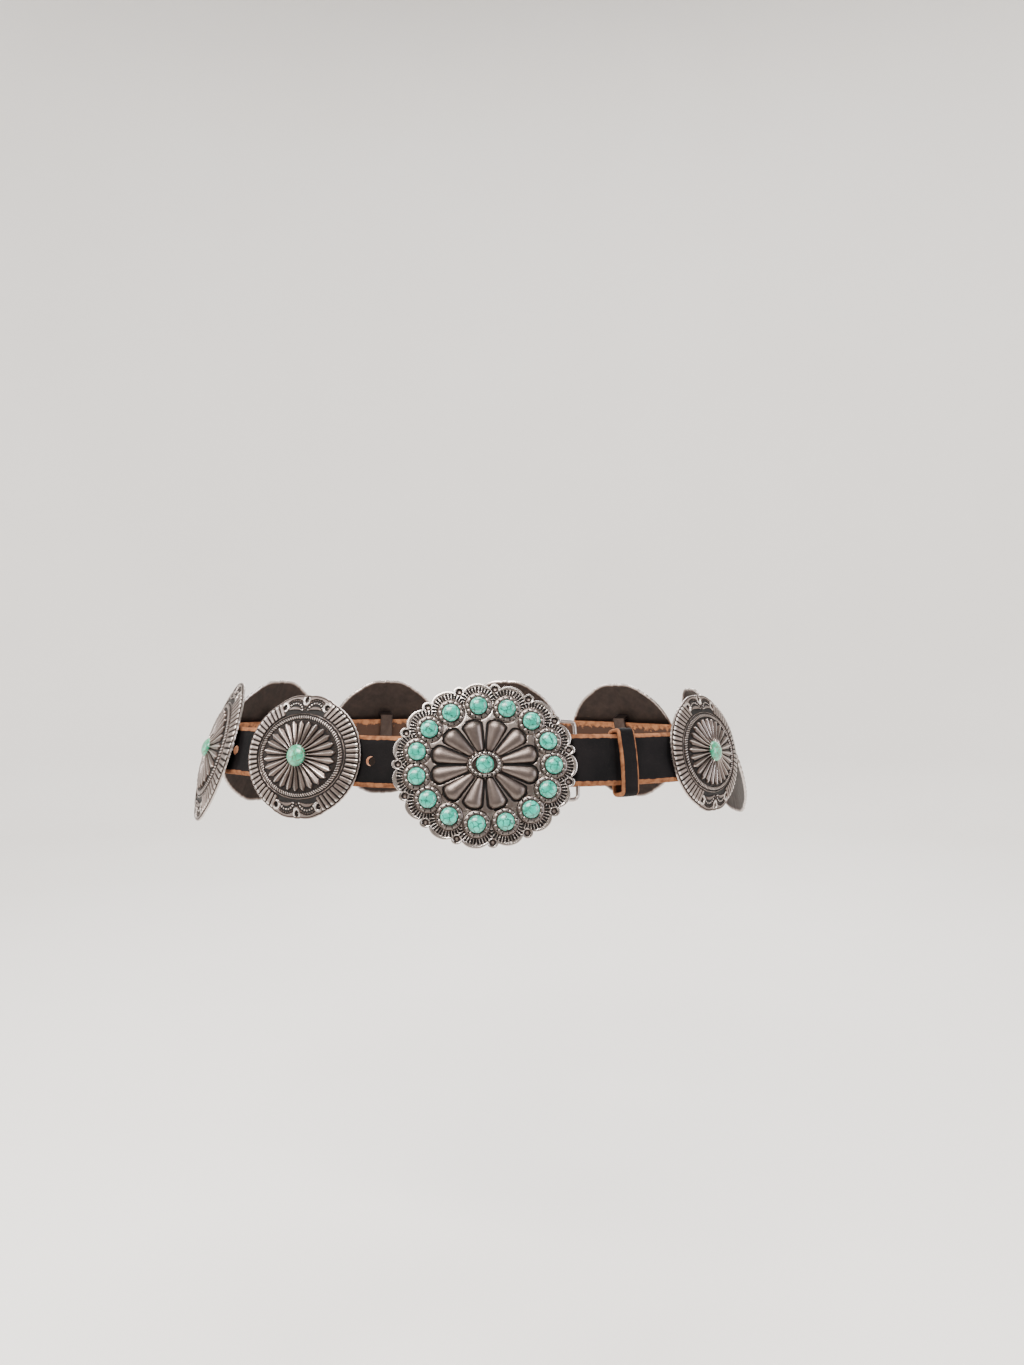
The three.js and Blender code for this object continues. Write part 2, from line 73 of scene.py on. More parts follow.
# Strap: one length of black waxed cowhide, an inch wide and 3 mm thick. Its edges are cut raw and
# bevelled, so the undyed tan core shows as a fuzzy band. It is folded round the heel loop behind the
# buckle, runs round the waist, and ends as a tail inside its own outer layer.
waist_half_width, waist_half_depth, buckle_to_the_right = 147, 105, 11
lean_rows = [(0, 9), (0.165, 10), (0.25, 22), (0.5, 12), (0.78, 18), (0.88, 9), (1, 9)]
rise_rows = [(0, 0), (0.25, 0), (0.5, 1.5), (0.78, 2.5), (0.83, 2.8), (0.88, 1.2), (0.94, 0), (1, 0)]
strap_width, strap_thickness, clearance = 25.4, 3.0, 0.3
bevel_width, bevel_drop = 2.4, 1.2
flap_length, flap_slope, flap_run, flap_thickness, fold_thickness = 16, 12, 5, 1.6, 2.0
heel_along, tail_end, tail_gap, layer_run, wire_radius = 44.5, 110, 1, 13, 1.2
hole_radius, hole_pitch, hole_sides, hook_along = 2.4, 29.3, 40, -26.7
holes_left_of_hook, holes_right_of_hook, punch_past = 4, 3, 0.4
flap_steps, fold_steps, strap_step, waist_steps = 8, 16, 1.6, 8000
cut_waver, waver_along, waver_across = 0.16, 0.9, 0.8
merged_within, leather_crease = 0.002, 50
front_turn = math.asin(buckle_to_the_right / waist_half_width)
turns = np.linspace(front_turn, front_turn + 2 * math.pi, waist_steps + 1)
oval = np.c_[waist_half_width * np.sin(turns), -waist_half_depth * np.cos(turns)]
walked = np.r_[0, np.cumsum(np.linalg.norm(np.diff(oval, axis=0), axis=1))]
waist_length = walked[-1]


def smooth(rows, where):
    """Reads a short table of (place, value) rows with a smooth step from row to row."""
    places, values = [row[0] for row in rows], [row[1] for row in rows]
    row = int(np.clip(np.searchsorted(places, where) - 1, 0, len(rows) - 2))
    share = np.clip((where - places[row]) / (places[row + 1] - places[row]), 0, 1)
    return values[row] + (values[row + 1] - values[row]) * share * share * (3 - 2 * share)


def directions(along):
    """The middle of the strap's path, its way forward, up its width and out of its face."""
    turn = np.interp(along % waist_length, walked, turns)
    rise = smooth(rise_rows, (along % waist_length) / waist_length)
    middle = Vector((waist_half_width * math.sin(turn), -waist_half_depth * math.cos(turn), rise))
    forward = Vector((waist_half_width * math.cos(turn), waist_half_depth * math.sin(turn), 0))
    forward.normalize()
    outwards = Vector((forward.y, -forward.x, 0))
    lean = math.radians(smooth(lean_rows, (along % waist_length) / waist_length))
    up = Vector((0, 0, math.cos(lean))) - outwards * math.sin(lean)
    face = outwards * math.cos(lean) + Vector((0, 0, math.sin(lean)))
    return middle, forward, up, face


def place(along, offset, height):
    middle, forward, up, face = directions(along)
    return middle + face * offset + up * height


flap_offset = strap_thickness / 2 + clearance + flap_thickness / 2
bar_offset = flap_offset + flap_thickness / 2 + clearance + wire_radius
fold_gap = wire_radius + clearance
fold_offset = bar_offset + fold_gap + fold_thickness / 2
flap_stack = flap_offset + flap_thickness / 2 + clearance + strap_thickness / 2
tail_stack = strap_thickness + clearance
flap_end = heel_along + flap_length
layer_rows = [
    (heel_along, fold_offset), (heel_along + flap_slope, flap_stack), (flap_end, flap_stack),
    (flap_end + flap_run, tail_stack), (tail_end + tail_gap, tail_stack),
    (tail_end + tail_gap + layer_run, 0), (waist_length + tail_end, 0)]
thickness_rows = [(heel_along, fold_thickness), (heel_along + flap_slope, strap_thickness),
                  (waist_length + tail_end, strap_thickness)]


def leather_section(width, thickness, bevel, drop):
    """Half turns of (across, out, raw, flesh) round a strap's section, from the face to the back."""
    half, top = width / 2, thickness / 2
    face = [(-1 + k / 4, top + 0.12 * (1 - (k / 4 - 1) ** 2), 0, 0) for k in range(9)]
    face = [((half - bevel) * across, out, raw, flesh) for across, out, raw, flesh in face]
    edge = [(half - bevel * 0.72, top - drop * 0.1, 0.8, 0), (half - bevel * 0.4, top - drop * 0.4, 1, 0),
            (half - bevel * 0.1, top - drop * 0.85, 1, 0), (half, top - drop * 1.2, 1, 0),
            (half, -top + 0.35, 1, 0), (half - 0.3, -top + 0.05, 1, 0), (half - 0.9, -top, 0.6, 1)]
    back = [(half * 0.5, -top, 0, 1), (0, -top, 0, 1), (-half * 0.5, -top, 0, 1)]
    other = [(-across, out, raw, flesh) for across, out, raw, flesh in reversed(edge)]
    return face + edge + back + other


def grid_piece(name, points, closed_rows=False):
    """Bends the grid primitive to rows of points in millimetres, joining each row's two ends."""
    rows, columns = points.shape[:2]
    bpy.ops.object.select_all(action="DESELECT")
    bpy.ops.mesh.primitive_grid_add(
        x_subdivisions=columns, y_subdivisions=rows if closed_rows else rows - 1, size=1)
    piece = bpy.context.object
    piece.name = piece.data.name = name
    flat = np.empty(len(piece.data.vertices) * 3)
    piece.data.vertices.foreach_get("co", flat)
    flat = flat.reshape(-1, 3)
    column = np.rint((flat[:, 0] + 0.5) * columns).astype(int) % columns
    row = np.rint((flat[:, 1] + 0.5) * (rows if closed_rows else rows - 1)).astype(int) % rows
    piece.data.vertices.foreach_set("co", (points[row, column] * MM).ravel())
    return piece, row, column


def merge(piece, within=merged_within * MM):
    """Merges points that meet and turns the faces outward."""
    bpy.context.view_layer.objects.active = piece
    bpy.ops.object.mode_set(mode="EDIT")
    bpy.ops.mesh.select_all(action="SELECT")
    bpy.ops.mesh.remove_doubles(threshold=within)
    bpy.ops.mesh.normals_make_consistent(inside=False)
    bpy.ops.object.mode_set(mode="OBJECT")


def attribute(piece, name, values):
    piece.data.attributes.new(name, "FLOAT", "POINT").data.foreach_set("value", values)


def smooth_shade(piece, degrees):
    bpy.ops.object.select_all(action="DESELECT")
    piece.select_set(True)
    bpy.context.view_layer.objects.active = piece
    bpy.ops.object.shade_smooth_by_angle(angle=math.radians(degrees))


def dress(piece, node, material):
    """Puts a finished piece on the belt in place of its CAD node."""
    if material:
        piece.data.materials.clear()
        piece.data.materials.append(material)
    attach(piece, "root")
    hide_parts(node)


def colour(code):
    """An sRGB hex value as linear RGBA."""
    shares = [int(code[k:k + 2], 16) / 255 for k in (1, 3, 5)]
    return [s / 12.92 if s <= 0.04045 else ((s + 0.055) / 1.055) ** 2.4 for s in shares] + [1]


def add(material, kind, inputs=None, **settings):
    """Adds a node with its settings, and values or links for its inputs."""
    made = material.node_tree.nodes.new(kind)
    for key, value in settings.items():
        setattr(made, key, value)
    for socket, value in (inputs or {}).items():
        if isinstance(value, bpy.types.NodeSocket):
            material.node_tree.links.new(value, made.inputs[socket])
        else:
            made.inputs[socket].default_value = value
    return made


def new_material(name):
    material = bpy.data.materials.new(name)
    material.use_nodes = True
    material.node_tree.nodes.clear()
    return material


# Waxed black cowhide: the dye sits on the grain alone, so cut edges and the flesh side are raw tan
def leather_material():
    material = new_material("waxed_black_cowhide")
    where = add(material, "ShaderNodeTexCoord").outputs["Object"]
    raw = add(material, "ShaderNodeAttribute", attribute_name="raw").outputs["Fac"]
    flesh = add(material, "ShaderNodeAttribute", attribute_name="flesh").outputs["Fac"]
    # Pores 0.5 mm apart, creases 4 mm apart, cloudy wear 20 mm across
    pores = add(material, "ShaderNodeTexVoronoi", {"Vector": where, "Scale": 1400.0})
    creases = add(material, "ShaderNodeTexNoise", {
        "Vector": where, "Scale": 420.0, "Detail": 6.0, "Roughness": 0.65})
    clouds = add(material, "ShaderNodeTexNoise", {"Vector": where, "Scale": 60.0, "Detail": 4.0})
    fibres = add(material, "ShaderNodeTexNoise", {
        "Vector": where, "Scale": 2600.0, "Detail": 5.0, "Roughness": 0.75})
    blotches = add(material, "ShaderNodeTexNoise", {"Vector": where, "Scale": 330.0, "Detail": 5.0})
    grain = add(material, "ShaderNodeValToRGB", {"Fac": clouds.outputs["Fac"]})
    grain.color_ramp.elements[0].color = colour("#070607")
    grain.color_ramp.elements[0].position = 0.35
    grain.color_ramp.elements[1].color = colour("#120f10")
    grain.color_ramp.elements[1].position = 0.7
    tan = add(material, "ShaderNodeValToRGB", {"Fac": blotches.outputs["Fac"]})
    tan.color_ramp.elements[0].color = colour("#4a2d1e")
    tan.color_ramp.elements[0].position = 0.32
    tan.color_ramp.elements[1].color = colour("#a06f4c")
    tan.color_ramp.elements[1].position = 0.62
    speckled = add(material, "ShaderNodeMix", {
        0: fibres.outputs["Fac"], 6: colour("#7d5038"), 7: tan.outputs["Color"]}, data_type="RGBA")
    frayed = add(material, "ShaderNodeMath", {0: blotches.outputs["Fac"], 1: 1.1}, operation="MULTIPLY")
    fringe = add(material, "ShaderNodeMath", {0: raw, 1: frayed.outputs[0]}, operation="ADD")
    edge = add(material, "ShaderNodeMapRange", {
        "Value": fringe.outputs[0], "From Min": 0.82, "From Max": 1.05}, interpolation_type="SMOOTHSTEP")
    backed = add(material, "ShaderNodeMix", {
        0: flesh, 6: grain.outputs["Color"], 7: colour("#3d2b22")}, data_type="RGBA")
    skin = add(material, "ShaderNodeMix", {
        0: edge.outputs[0], 6: backed.outputs[2], 7: speckled.outputs[2]}, data_type="RGBA")
    rough = add(material, "ShaderNodeMapRange", {
        "Value": edge.outputs[0], "To Min": 0.7, "To Max": 0.95})
    pits = add(material, "ShaderNodeMath", {
        0: pores.outputs["Distance"], 1: creases.outputs["Fac"]}, operation="ADD")
    bump = add(material, "ShaderNodeBump", {
        "Height": pits.outputs[0], "Distance": 0.00012, "Strength": 0.5})
    fuzz = add(material, "ShaderNodeBump", {
        "Height": fibres.outputs["Fac"], "Distance": 0.0003, "Strength": edge.outputs[0],
        "Normal": bump.outputs["Normal"]})
    shader = add(material, "ShaderNodeBsdfPrincipled", {
        "Base Color": skin.outputs[2], "Roughness": rough.outputs[0],
        "Normal": fuzz.outputs["Normal"], "Specular IOR Level": 0.11})
    add(material, "ShaderNodeOutputMaterial", {"Surface": shader.outputs["BSDF"]})
    return material


def raw_leather_material():
    material = new_material("raw_tan_leather_core")
    where = add(material, "ShaderNodeTexCoord").outputs["Object"]
    fibres = add(material, "ShaderNodeTexNoise", {"Vector": where, "Scale": 1500.0, "Detail": 5.0})
    tan = add(material, "ShaderNodeValToRGB", {"Fac": fibres.outputs["Fac"]})
    tan.color_ramp.elements[0].color = colour("#a9714f")
    tan.color_ramp.elements[1].color = colour("#e2b391")
    bump = add(material, "ShaderNodeBump", {"Height": fibres.outputs["Fac"], "Distance": 0.0002})
    shader = add(material, "ShaderNodeBsdfPrincipled", {
        "Base Color": tan.outputs["Color"], "Roughness": 0.9, "Normal": bump.outputs["Normal"]})
    add(material, "ShaderNodeOutputMaterial", {"Surface": shader.outputs["BSDF"]})
    return material


black_leather = leather_material()
raw_leather = raw_leather_material()


def strap_stations():
    """Rows of (along, offset, turn, thickness) from the flap's end round the fold to the tail's end."""
    stations = [(flap_end - flap_length * k / flap_steps, flap_offset, math.pi, flap_thickness)
                for k in range(flap_steps)]
    for k in range(fold_steps + 1):
        turn = math.pi * (1 - k / fold_steps)
        thickness = flap_thickness + (fold_thickness - flap_thickness) * k / fold_steps
        reach = fold_gap + thickness / 2
        stations.append((heel_along - reach * math.sin(turn), bar_offset + reach * math.cos(turn),
                         turn, thickness))
    run = waist_length + tail_end - heel_along
    steps = int(run / strap_step)
    for k in range(1, steps + 1):
        along = heel_along + run * k / steps
        stations.append((along, smooth(layer_rows, along), 0, smooth(thickness_rows, along)))
    return stations


def build_strap():
    rows, raws, fleshes = [], [], []
    for along, offset, turn, thickness in strap_stations():
        middle, forward, up, face = directions(along)
        grain = face * math.cos(turn) - forward * math.sin(turn)
        centre = middle + face * offset
        row = []
        for across, out, raw, flesh in leather_section(
                strap_width, thickness, bevel_width, bevel_drop * thickness / strap_thickness):
            grit = noise.noise(Vector((along * waver_along, across * waver_across, out + turn)))
            rough = grit * cut_waver * raw
            side = 1 if across > 0 else -1
            row.append(centre + up * (across + rough * side) + grain * (out - rough * 0.4))
        rows.append(row)
        section = leather_section(strap_width, thickness, bevel_width, bevel_drop)
        raws.append([point[2] for point in section])
        fleshes.append([point[3] for point in section])
    ends = [[sum(row, Vector()) / len(row)] * len(row) for row in (rows[0], rows[-1])]
    rows = [ends[0]] + rows + [ends[1]]
    raws = [[1.0] * len(raws[0])] + raws + [[1.0] * len(raws[0])]
    fleshes = [[0.0] * len(raws[0])] + fleshes + [[0.0] * len(raws[0])]
    strap, row, column = grid_piece("strap_leather", np.array(rows))
    attribute(strap, "raw", np.array(raws)[row, column])
    attribute(strap, "flesh", np.array(fleshes)[row, column])
    merge(strap)
    return strap


def joined(pieces, name):
    """Joins pieces to one mesh under a new name."""
    bpy.ops.object.select_all(action="DESELECT")
    for piece in pieces:
        piece.select_set(True)
    bpy.context.view_layer.objects.active = pieces[0]
    bpy.ops.object.join()
    pieces[0].name = pieces[0].data.name = name
    return pieces[0]


strap = build_strap()
strap.data.materials.append(black_leather)
bpy.ops.object.select_all(action="DESELECT")
punches = []
for hole in range(-holes_left_of_hook, holes_right_of_hook + 1):
    middle, forward, up, face = directions(hook_along + hole * hole_pitch)
    bpy.ops.mesh.primitive_cylinder_add(
        vertices=hole_sides, radius=hole_radius * MM, depth=(strap_thickness + punch_past) * MM,
        location=middle * MM, rotation=face.to_track_quat("Z", "Y").to_euler())
    punches.append(bpy.context.object)
punch = joined(punches, "hole_punch")
punch.data.materials.append(raw_leather)
strap.data.materials.append(raw_leather)
cut = strap.modifiers.new("holes", "BOOLEAN")
cut.operation, cut.solver, cut.object = "DIFFERENCE", "EXACT", punch
cut.material_mode = "TRANSFER"
bpy.context.view_layer.objects.active = strap
bpy.ops.object.modifier_apply(modifier="holes")
bpy.data.objects.remove(punch)
smooth_shade(strap, leather_crease)
dress(strap, "strap", None)


# Keeper: a strip of the same leather, 9.5 mm wide, closed to a ring round both layers of the strap.
# It bows out in front, and its cut edges are as raw as the strap's.
keeper_along, keeper_width, keeper_leather, keeper_slack = 71, 9.5, 2.2, 2.2
keeper_bow, keeper_drop, keeper_corner, keeper_shoulder = 1.6, 1.5, 2.1, 0.5
keeper_bevel, keeper_bevel_drop, keeper_waver = 1.2, 0.7, 0.1
straight_steps, corner_steps, side_steps = 12, 6, 4


def keeper_outline():
    """The keeper's middle line as (height, out) points: front, lower corner, side, back and up again."""
    half = strap_width / 2 + keeper_slack + keeper_leather / 2
    front = tail_stack + strap_thickness / 2 + clearance + keeper_leather / 2
    back = -strap_thickness / 2 - clearance - keeper_leather / 2
    heights = [(half - keeper_corner) * (1 - 2 * k / straight_steps) for k in range(straight_steps + 1)]
    corner_turns = [math.pi / 2 * k / corner_steps for k in range(1, corner_steps)]
    side_run = back - front + 2 * keeper_corner
    outline = [(height, front + keeper_bow * (1 - (height / half) ** 2)) for height in heights]
    shoulder = keeper_corner + keeper_shoulder
    side = [(-half + keeper_corner * (1 - math.sin(turn)),
             front + keeper_shoulder - shoulder * (1 - math.cos(turn))) for turn in corner_turns]
    side += [(-half, front - keeper_corner + side_run * k / side_steps) for k in range(side_steps + 1)]
    side += [(-half + keeper_corner * (1 - math.cos(turn)),
              back + keeper_corner * (1 - math.sin(turn))) for turn in corner_turns]
    outline += side + [(-height, back) for height in heights]
    return outline + [(-height, out) for height, out in reversed(side)]


def build_keeper():
    middle, forward, up, face = directions(keeper_along)
    centre = place(keeper_along, 0, -keeper_drop)
    outline = keeper_outline()
    section = leather_section(keeper_width, keeper_leather, keeper_bevel, keeper_bevel_drop)
    rows, raws, fleshes = [], [], []
    for k, (height, out) in enumerate(outline):
        before, after = outline[k - 1], outline[(k + 1) % len(outline)]
        run = Vector((after[0] - before[0], after[1] - before[1])).normalized()
        away = Vector((run.y, -run.x))
        row = []
        for across, rise, raw, flesh in section:
            rough = noise.noise(Vector((k * waver_along, across, rise))) * keeper_waver * raw
            spot = Vector((height, out)) + away * rise
            row.append(centre + up * spot.x + face * spot.y + forward * (across + rough))
        rows.append(row)
        raws.append([point[2] for point in section])
        fleshes.append([point[3] for point in section])
    keeper, row, column = grid_piece("keeper_leather", np.array(rows), closed_rows=True)
    attribute(keeper, "raw", np.array(raws)[row, column])
    attribute(keeper, "flesh", np.array(fleshes)[row, column])
    merge(keeper)
    smooth_shade(keeper, leather_crease)
    return keeper


dress(build_keeper(), "keeper", black_leather)


# Heel loop: a closed loop of plated steel wire, 2.4 mm thick, sprung into the lugs on the back of the
# plate. The strap is folded round its far side. It has the same antique silver finish as the castings:
# blackened all over, then rubbed back, so that the high relief shines and the recesses stay dark. The
# attribute "relief" is 0 in a recess and 1 on a rubbed ridge; painted light goes into it too: glints in
# the dimples, a highlight on the flutes' outer ends and shadow round the bezels' feet.
wire_rounding, wire_crease, wire_relief = 2, 60, 0.8


def silver_material(name):
    material = new_material(name)
    where = add(material, "ShaderNodeTexCoord").outputs["Object"]
    relief = add(material, "ShaderNodeAttribute", attribute_name="relief").outputs["Fac"]
    hollow = add(material, "ShaderNodeAmbientOcclusion", {"Distance": 0.0009}, samples=6, only_local=True)
    tarnish = add(material, "ShaderNodeTexNoise", {
        "Vector": where, "Scale": 210.0, "Detail": 7.0, "Roughness": 0.7})
    pits = add(material, "ShaderNodeTexNoise", {
        "Vector": where, "Scale": 2400.0, "Detail": 4.0, "Roughness": 0.7})
    raised = add(material, "ShaderNodeMath", {0: relief, 1: 0.78, 2: -0.18}, operation="MULTIPLY_ADD")
    opened = add(material, "ShaderNodeMath", {
        0: hollow.outputs["AO"], 1: 0.3, 2: raised.outputs[0]}, operation="MULTIPLY_ADD")
    level = add(material, "ShaderNodeMath", {
        0: tarnish.outputs["Fac"], 1: 0.22, 2: opened.outputs[0]}, operation="MULTIPLY_ADD")
    tone = add(material, "ShaderNodeValToRGB", {"Fac": level.outputs[0]})
    ramp = tone.color_ramp
    ramp.elements[0].color, ramp.elements[0].position = colour("#0a0707"), 0.2
    ramp.elements[1].color, ramp.elements[1].position = colour("#cfc7c2"), 0.98
    for position, code in ((0.36, "#1f1815"), (0.55, "#4c413c"), (0.76, "#877c77")):
        ramp.elements.new(position).color = colour(code)
    metal = add(material, "ShaderNodeMapRange", {
        "Value": level.outputs[0], "From Min": 0.2, "From Max": 0.45, "To Min": 0.3, "To Max": 1.0})
    rough = add(material, "ShaderNodeMapRange", {
        "Value": level.outputs[0], "From Min": 0.2, "From Max": 0.9, "To Min": 0.7, "To Max": 0.27})
    bump = add(material, "ShaderNodeBump", {
        "Height": pits.outputs["Fac"], "Distance": 0.00005, "Strength": 0.5})
    shader = add(material, "ShaderNodeBsdfPrincipled", {
        "Base Color": tone.outputs["Color"], "Metallic": metal.outputs[0], "Roughness": rough.outputs[0],
        "Normal": bump.outputs["Normal"]})
    add(material, "ShaderNodeOutputMaterial", {"Surface": shader.outputs["BSDF"]})
    return material


antique_silver = silver_material("antique_silver_casting")


def smooth_copy(node, name, levels):
    """A merged copy of a CAD node, rounded by a subdivision surface."""
    copy = frame["nodes"][node].copy()
    copy.data = frame["nodes"][node].data.copy()
    copy.name = copy.data.name = name
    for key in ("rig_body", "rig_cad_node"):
        if key in copy:
            del copy[key]
    copy.parent = None
    bpy.context.scene.collection.objects.link(copy)
    bpy.ops.object.select_all(action="DESELECT")
    copy.select_set(True)
    merge(copy)
    rounding = copy.modifiers.new("rounding", "SUBSURF")
    rounding.levels = rounding.render_levels = levels
    bpy.context.view_layer.objects.active = copy
    bpy.ops.object.modifier_apply(modifier="rounding")
    smooth_shade(copy, wire_crease)
    return copy


def even_relief(piece, rubbed):
    attribute(piece, "relief", [rubbed] * len(piece.data.vertices))


heel_loop = smooth_copy("heel_loop", "heel_loop_wire", wire_rounding)
even_relief(heel_loop, wire_relief)
dress(heel_loop, "heel_loop", antique_silver)


# Buckle plate: a cast oval, lightly domed. Fifteen scallops with engraved fans and a dimpled bump
# between each pair run round the edge. Bezels, petals and the oval setting are cast on its face,
# and the lugs and the hook are soldered to its back.
buckle_half_width, buckle_half_height, buckle_crown, buckle_thickness = 44.6, 39.8, 3.5, 2.2
scallops, first_scallop, lobe_share = 15, math.radians(-5.1), 0.36
bezel_ring, bezel_radius, bezel_bars, bezel_height = (33.3, 28.5), 6.1, 12, 2.2
setting_bars, stone_collar_radius = 20, 4.45
plate_petals, petal_field, petal_root, petal_reach = 12, (26.4, 21.8), 0.29, 0.70
dimple_ring, dimple_radius, fan_lines, plate_columns = 0.935, 1.65, 17.5, 900
plate_face = -(bezel_height + clearance) - buckle_crown
lug_inset, lug_wall, lug_length, lug_spacing = 15, 1.3, 5, 16
hook_past, lug_sides, hook_sides, bar_bevel = 1.2, 40, 32, 0.28
cast_crease, petal_crease = 40, 80


def seat(node):
    """A stone's base in the frame: its middle, and the ways across, up and out, in millimetres."""
    co = np.array([v.co for v in frame["nodes"][node].data.vertices]) / MM
    middle = co.mean(axis=0)
    out = np.linalg.eigh(np.cov((co - middle).T))[1][:, 0]
    out = out * np.sign(out[0] * middle[0] + out[1] * middle[1])
    across = np.array([-out[1], out[0], 0]) / math.hypot(out[0], out[1])
    up = np.cross(out, across)
    base = middle + out * ((co - middle) @ out).min()
    return base, across, up, out


def stand(seated, points):
    """Puts points of a face's own frame, in millimetres, on the belt."""
    base, across, up, out = seated
    points = np.asarray(points)
    return base + points[..., 0:1] * across + points[..., 1:2] * up + points[..., 2:3] * out


def dome(x, y):
    return buckle_crown * (1 - (x / buckle_half_width) ** 2 - (y / buckle_half_height) ** 2)


def bezel_spot(k):
    turn = first_scallop + k * 2 * math.pi / scallops
    return bezel_ring[0] * math.sin(turn), bezel_ring[1] * math.cos(turn)


def step(low, high, value):
    """A smooth step from 0 at low to 1 at high."""
    share = np.clip((value - low) / (high - low), 0, 1)
    return share * share * (3 - 2 * share)


def petal_half_width(length, turn):
    """Half the width of a petal, in millimetres, by the share of its length and its turn."""
    body = 0.3 + 0.7 * np.clip(length / 0.8, 0, 1) ** 0.9
    end = np.clip(1 - np.clip((length - 0.76) / 0.24, 0, 1) ** 2.8, 0, 1) ** 0.45
    start = np.sqrt(np.clip(1 - np.clip((0.05 - length) / 0.05, 0, 1) ** 2, 0, 1))
    return body * end * start * (4.15 + 0.5 * np.cos(turn) ** 2)


def plate_surface(turn, share):
    """Points of the plate's face: its scalloped outline, its low relief and how far it is rubbed, with
    painted shadow round the bezels' feet and painted glints in the dimples.
    """
    pitch = 2 * math.pi / scallops
    sector = (turn - first_scallop) / pitch
    off = np.abs(sector - np.rint(sector))
    lobe = 1.004 - 0.06 * (off / lobe_share) ** 2.4
    bump = 0.937 + 0.062 * np.sqrt(np.clip(1 - ((0.5 - off) / 0.15) ** 2, 0, 1))
    reach = np.where(off < lobe_share, lobe, bump)
    x = buckle_half_width * np.sin(turn) * share * reach
    y = buckle_half_height * np.cos(turn) * share * reach
    nearest = first_scallop + np.rint(sector) * pitch
    stone_x, stone_y = bezel_ring[0] * np.sin(nearest), bezel_ring[1] * np.cos(nearest)
    from_stone = np.hypot(x - stone_x, y - stone_y)
    away = np.arctan2(stone_x / bezel_ring[0] ** 2, stone_y / bezel_ring[1] ** 2)
    round_stone = np.arctan2(x - stone_x, y - stone_y) - away
    bars = step(0.42, 0.78, np.abs(np.cos(round_stone * fan_lines)))
    fan = bars * step(6.8, 7.2, from_stone) * (1 - step(9.5, 9.9, from_stone))
    fan = fan * step(0.1, 0.35, np.cos(round_stone)) * step(0.70, 0.72, share)
    between = first_scallop + (np.floor(sector) + 0.5) * pitch
    spot_x = buckle_half_width * dimple_ring * np.sin(between)
    spot_y = buckle_half_height * dimple_ring * np.cos(between)
    from_spot = np.hypot(x - spot_x, y - spot_y)
    dimple = np.sqrt(np.clip(1 - (from_spot / dimple_radius) ** 2, 0, 1))
    lip = step(0.968, 0.982, share) * 0.2
    fan = fan * step(2.0, 2.5, from_spot)
    # Painted shadow over a shallow recess: the ring round each bezel's foot is sunk a little and painted
    # dark as the shadow where the bezel meets the plate
    moat_and_painted_shadow = (1 - step(6.5, 7.0, from_stone)) * 0.3
    petal_turn = 2 * math.pi / plate_petals
    which = (np.floor(turn / petal_turn) + 0.5) * petal_turn
    tip_x, tip_y = petal_field[0] * np.sin(which), petal_field[1] * np.cos(which)
    run = np.hypot(tip_x, tip_y)
    length = ((x * tip_x + y * tip_y) / run ** 2 - petal_root) / petal_reach
    across = np.abs(x * tip_y - y * tip_x) / run
    beyond = np.maximum(length - 1, 0) * run * petal_reach
    half = petal_half_width(np.clip(length, 0, 0.985), which)
    outside = np.hypot(np.maximum(across - half, 0), beyond)
    field = 1 - step(1.04, 1.1, np.hypot(x / petal_field[0], y / petal_field[1]))
    groove = (1 - step(0.45, 0.85, outside)) * field
    relief = lip - dimple * 1.0 - fan * 0.6 - moat_and_painted_shadow - groove * 0.6
    rubbed = 0.92 - 0.2 * field - fan - groove * 0.75 - moat_and_painted_shadow * 2.2 + lip * 0.6
    # Painted highlight: a glint is painted into the middle of each dimple
    glint = 0.05 + 3.0 * np.clip(dimple - 0.75, 0, 1)
    rubbed = np.where(from_spot < dimple_radius, glint, rubbed)
    return x, y, relief, np.clip(rubbed, 0, 1)


def build_plate(seated):
    """The plate's face, its rounded edge and its plain back, from the middle outwards and back again."""
    turn = np.linspace(0, 2 * math.pi, plate_columns, endpoint=False)
    shares = np.r_[0, np.linspace(0.13, 0.46, 8), np.linspace(0.49, 0.66, 15),
                   np.linspace(0.675, 0.75, 5), np.linspace(0.756, 1.0, 42)]
    edge_lip, edge_relief, back_relief = 0.2, 0.8, 0.4
    rows, tones = [], []
    for share in shares:
        x, y, relief, rubbed = plate_surface(turn, share)
        rows.append(np.c_[x, y, plate_face + dome(x, y) + relief])
        tones.append(rubbed)
    x, y, relief, rubbed = plate_surface(turn, 1.0)
    for inward, lower in ((1.004, 0.15), (1.004, 1.3), (0.992, buckle_thickness)):
        rows.append(np.c_[x * inward, y * inward, plate_face + dome(x, y) + edge_lip - lower])
        tones.append(np.full(plate_columns, edge_relief))
    for share in (0.9, 0.6, 0.3, 0):
        rows.append(np.c_[x * share, y * share,
                          plate_face + dome(x * share, y * share) - buckle_thickness])
        tones.append(np.full(plate_columns, back_relief))
    plate, row, column = grid_piece("plate_body", stand(seated, np.array(rows)))
    attribute(plate, "relief", np.array(tones)[row, column])
    merge(plate)
    smooth_shade(plate, cast_crease)
    return plate


def shaped(piece, shape):
    """Gives a piece's points, still in millimetres, a new shape."""
    co = np.empty(len(piece.data.vertices) * 3)
    piece.data.vertices.foreach_get("co", co)
    piece.data.vertices.foreach_set("co", np.ascontiguousarray(shape(co.reshape(-1, 3))).ravel())
    return piece


def moved(piece, seated):
    """Moves a piece that is still in millimetres onto the belt."""
    return shaped(piece, lambda co: stand(seated, co) * MM)


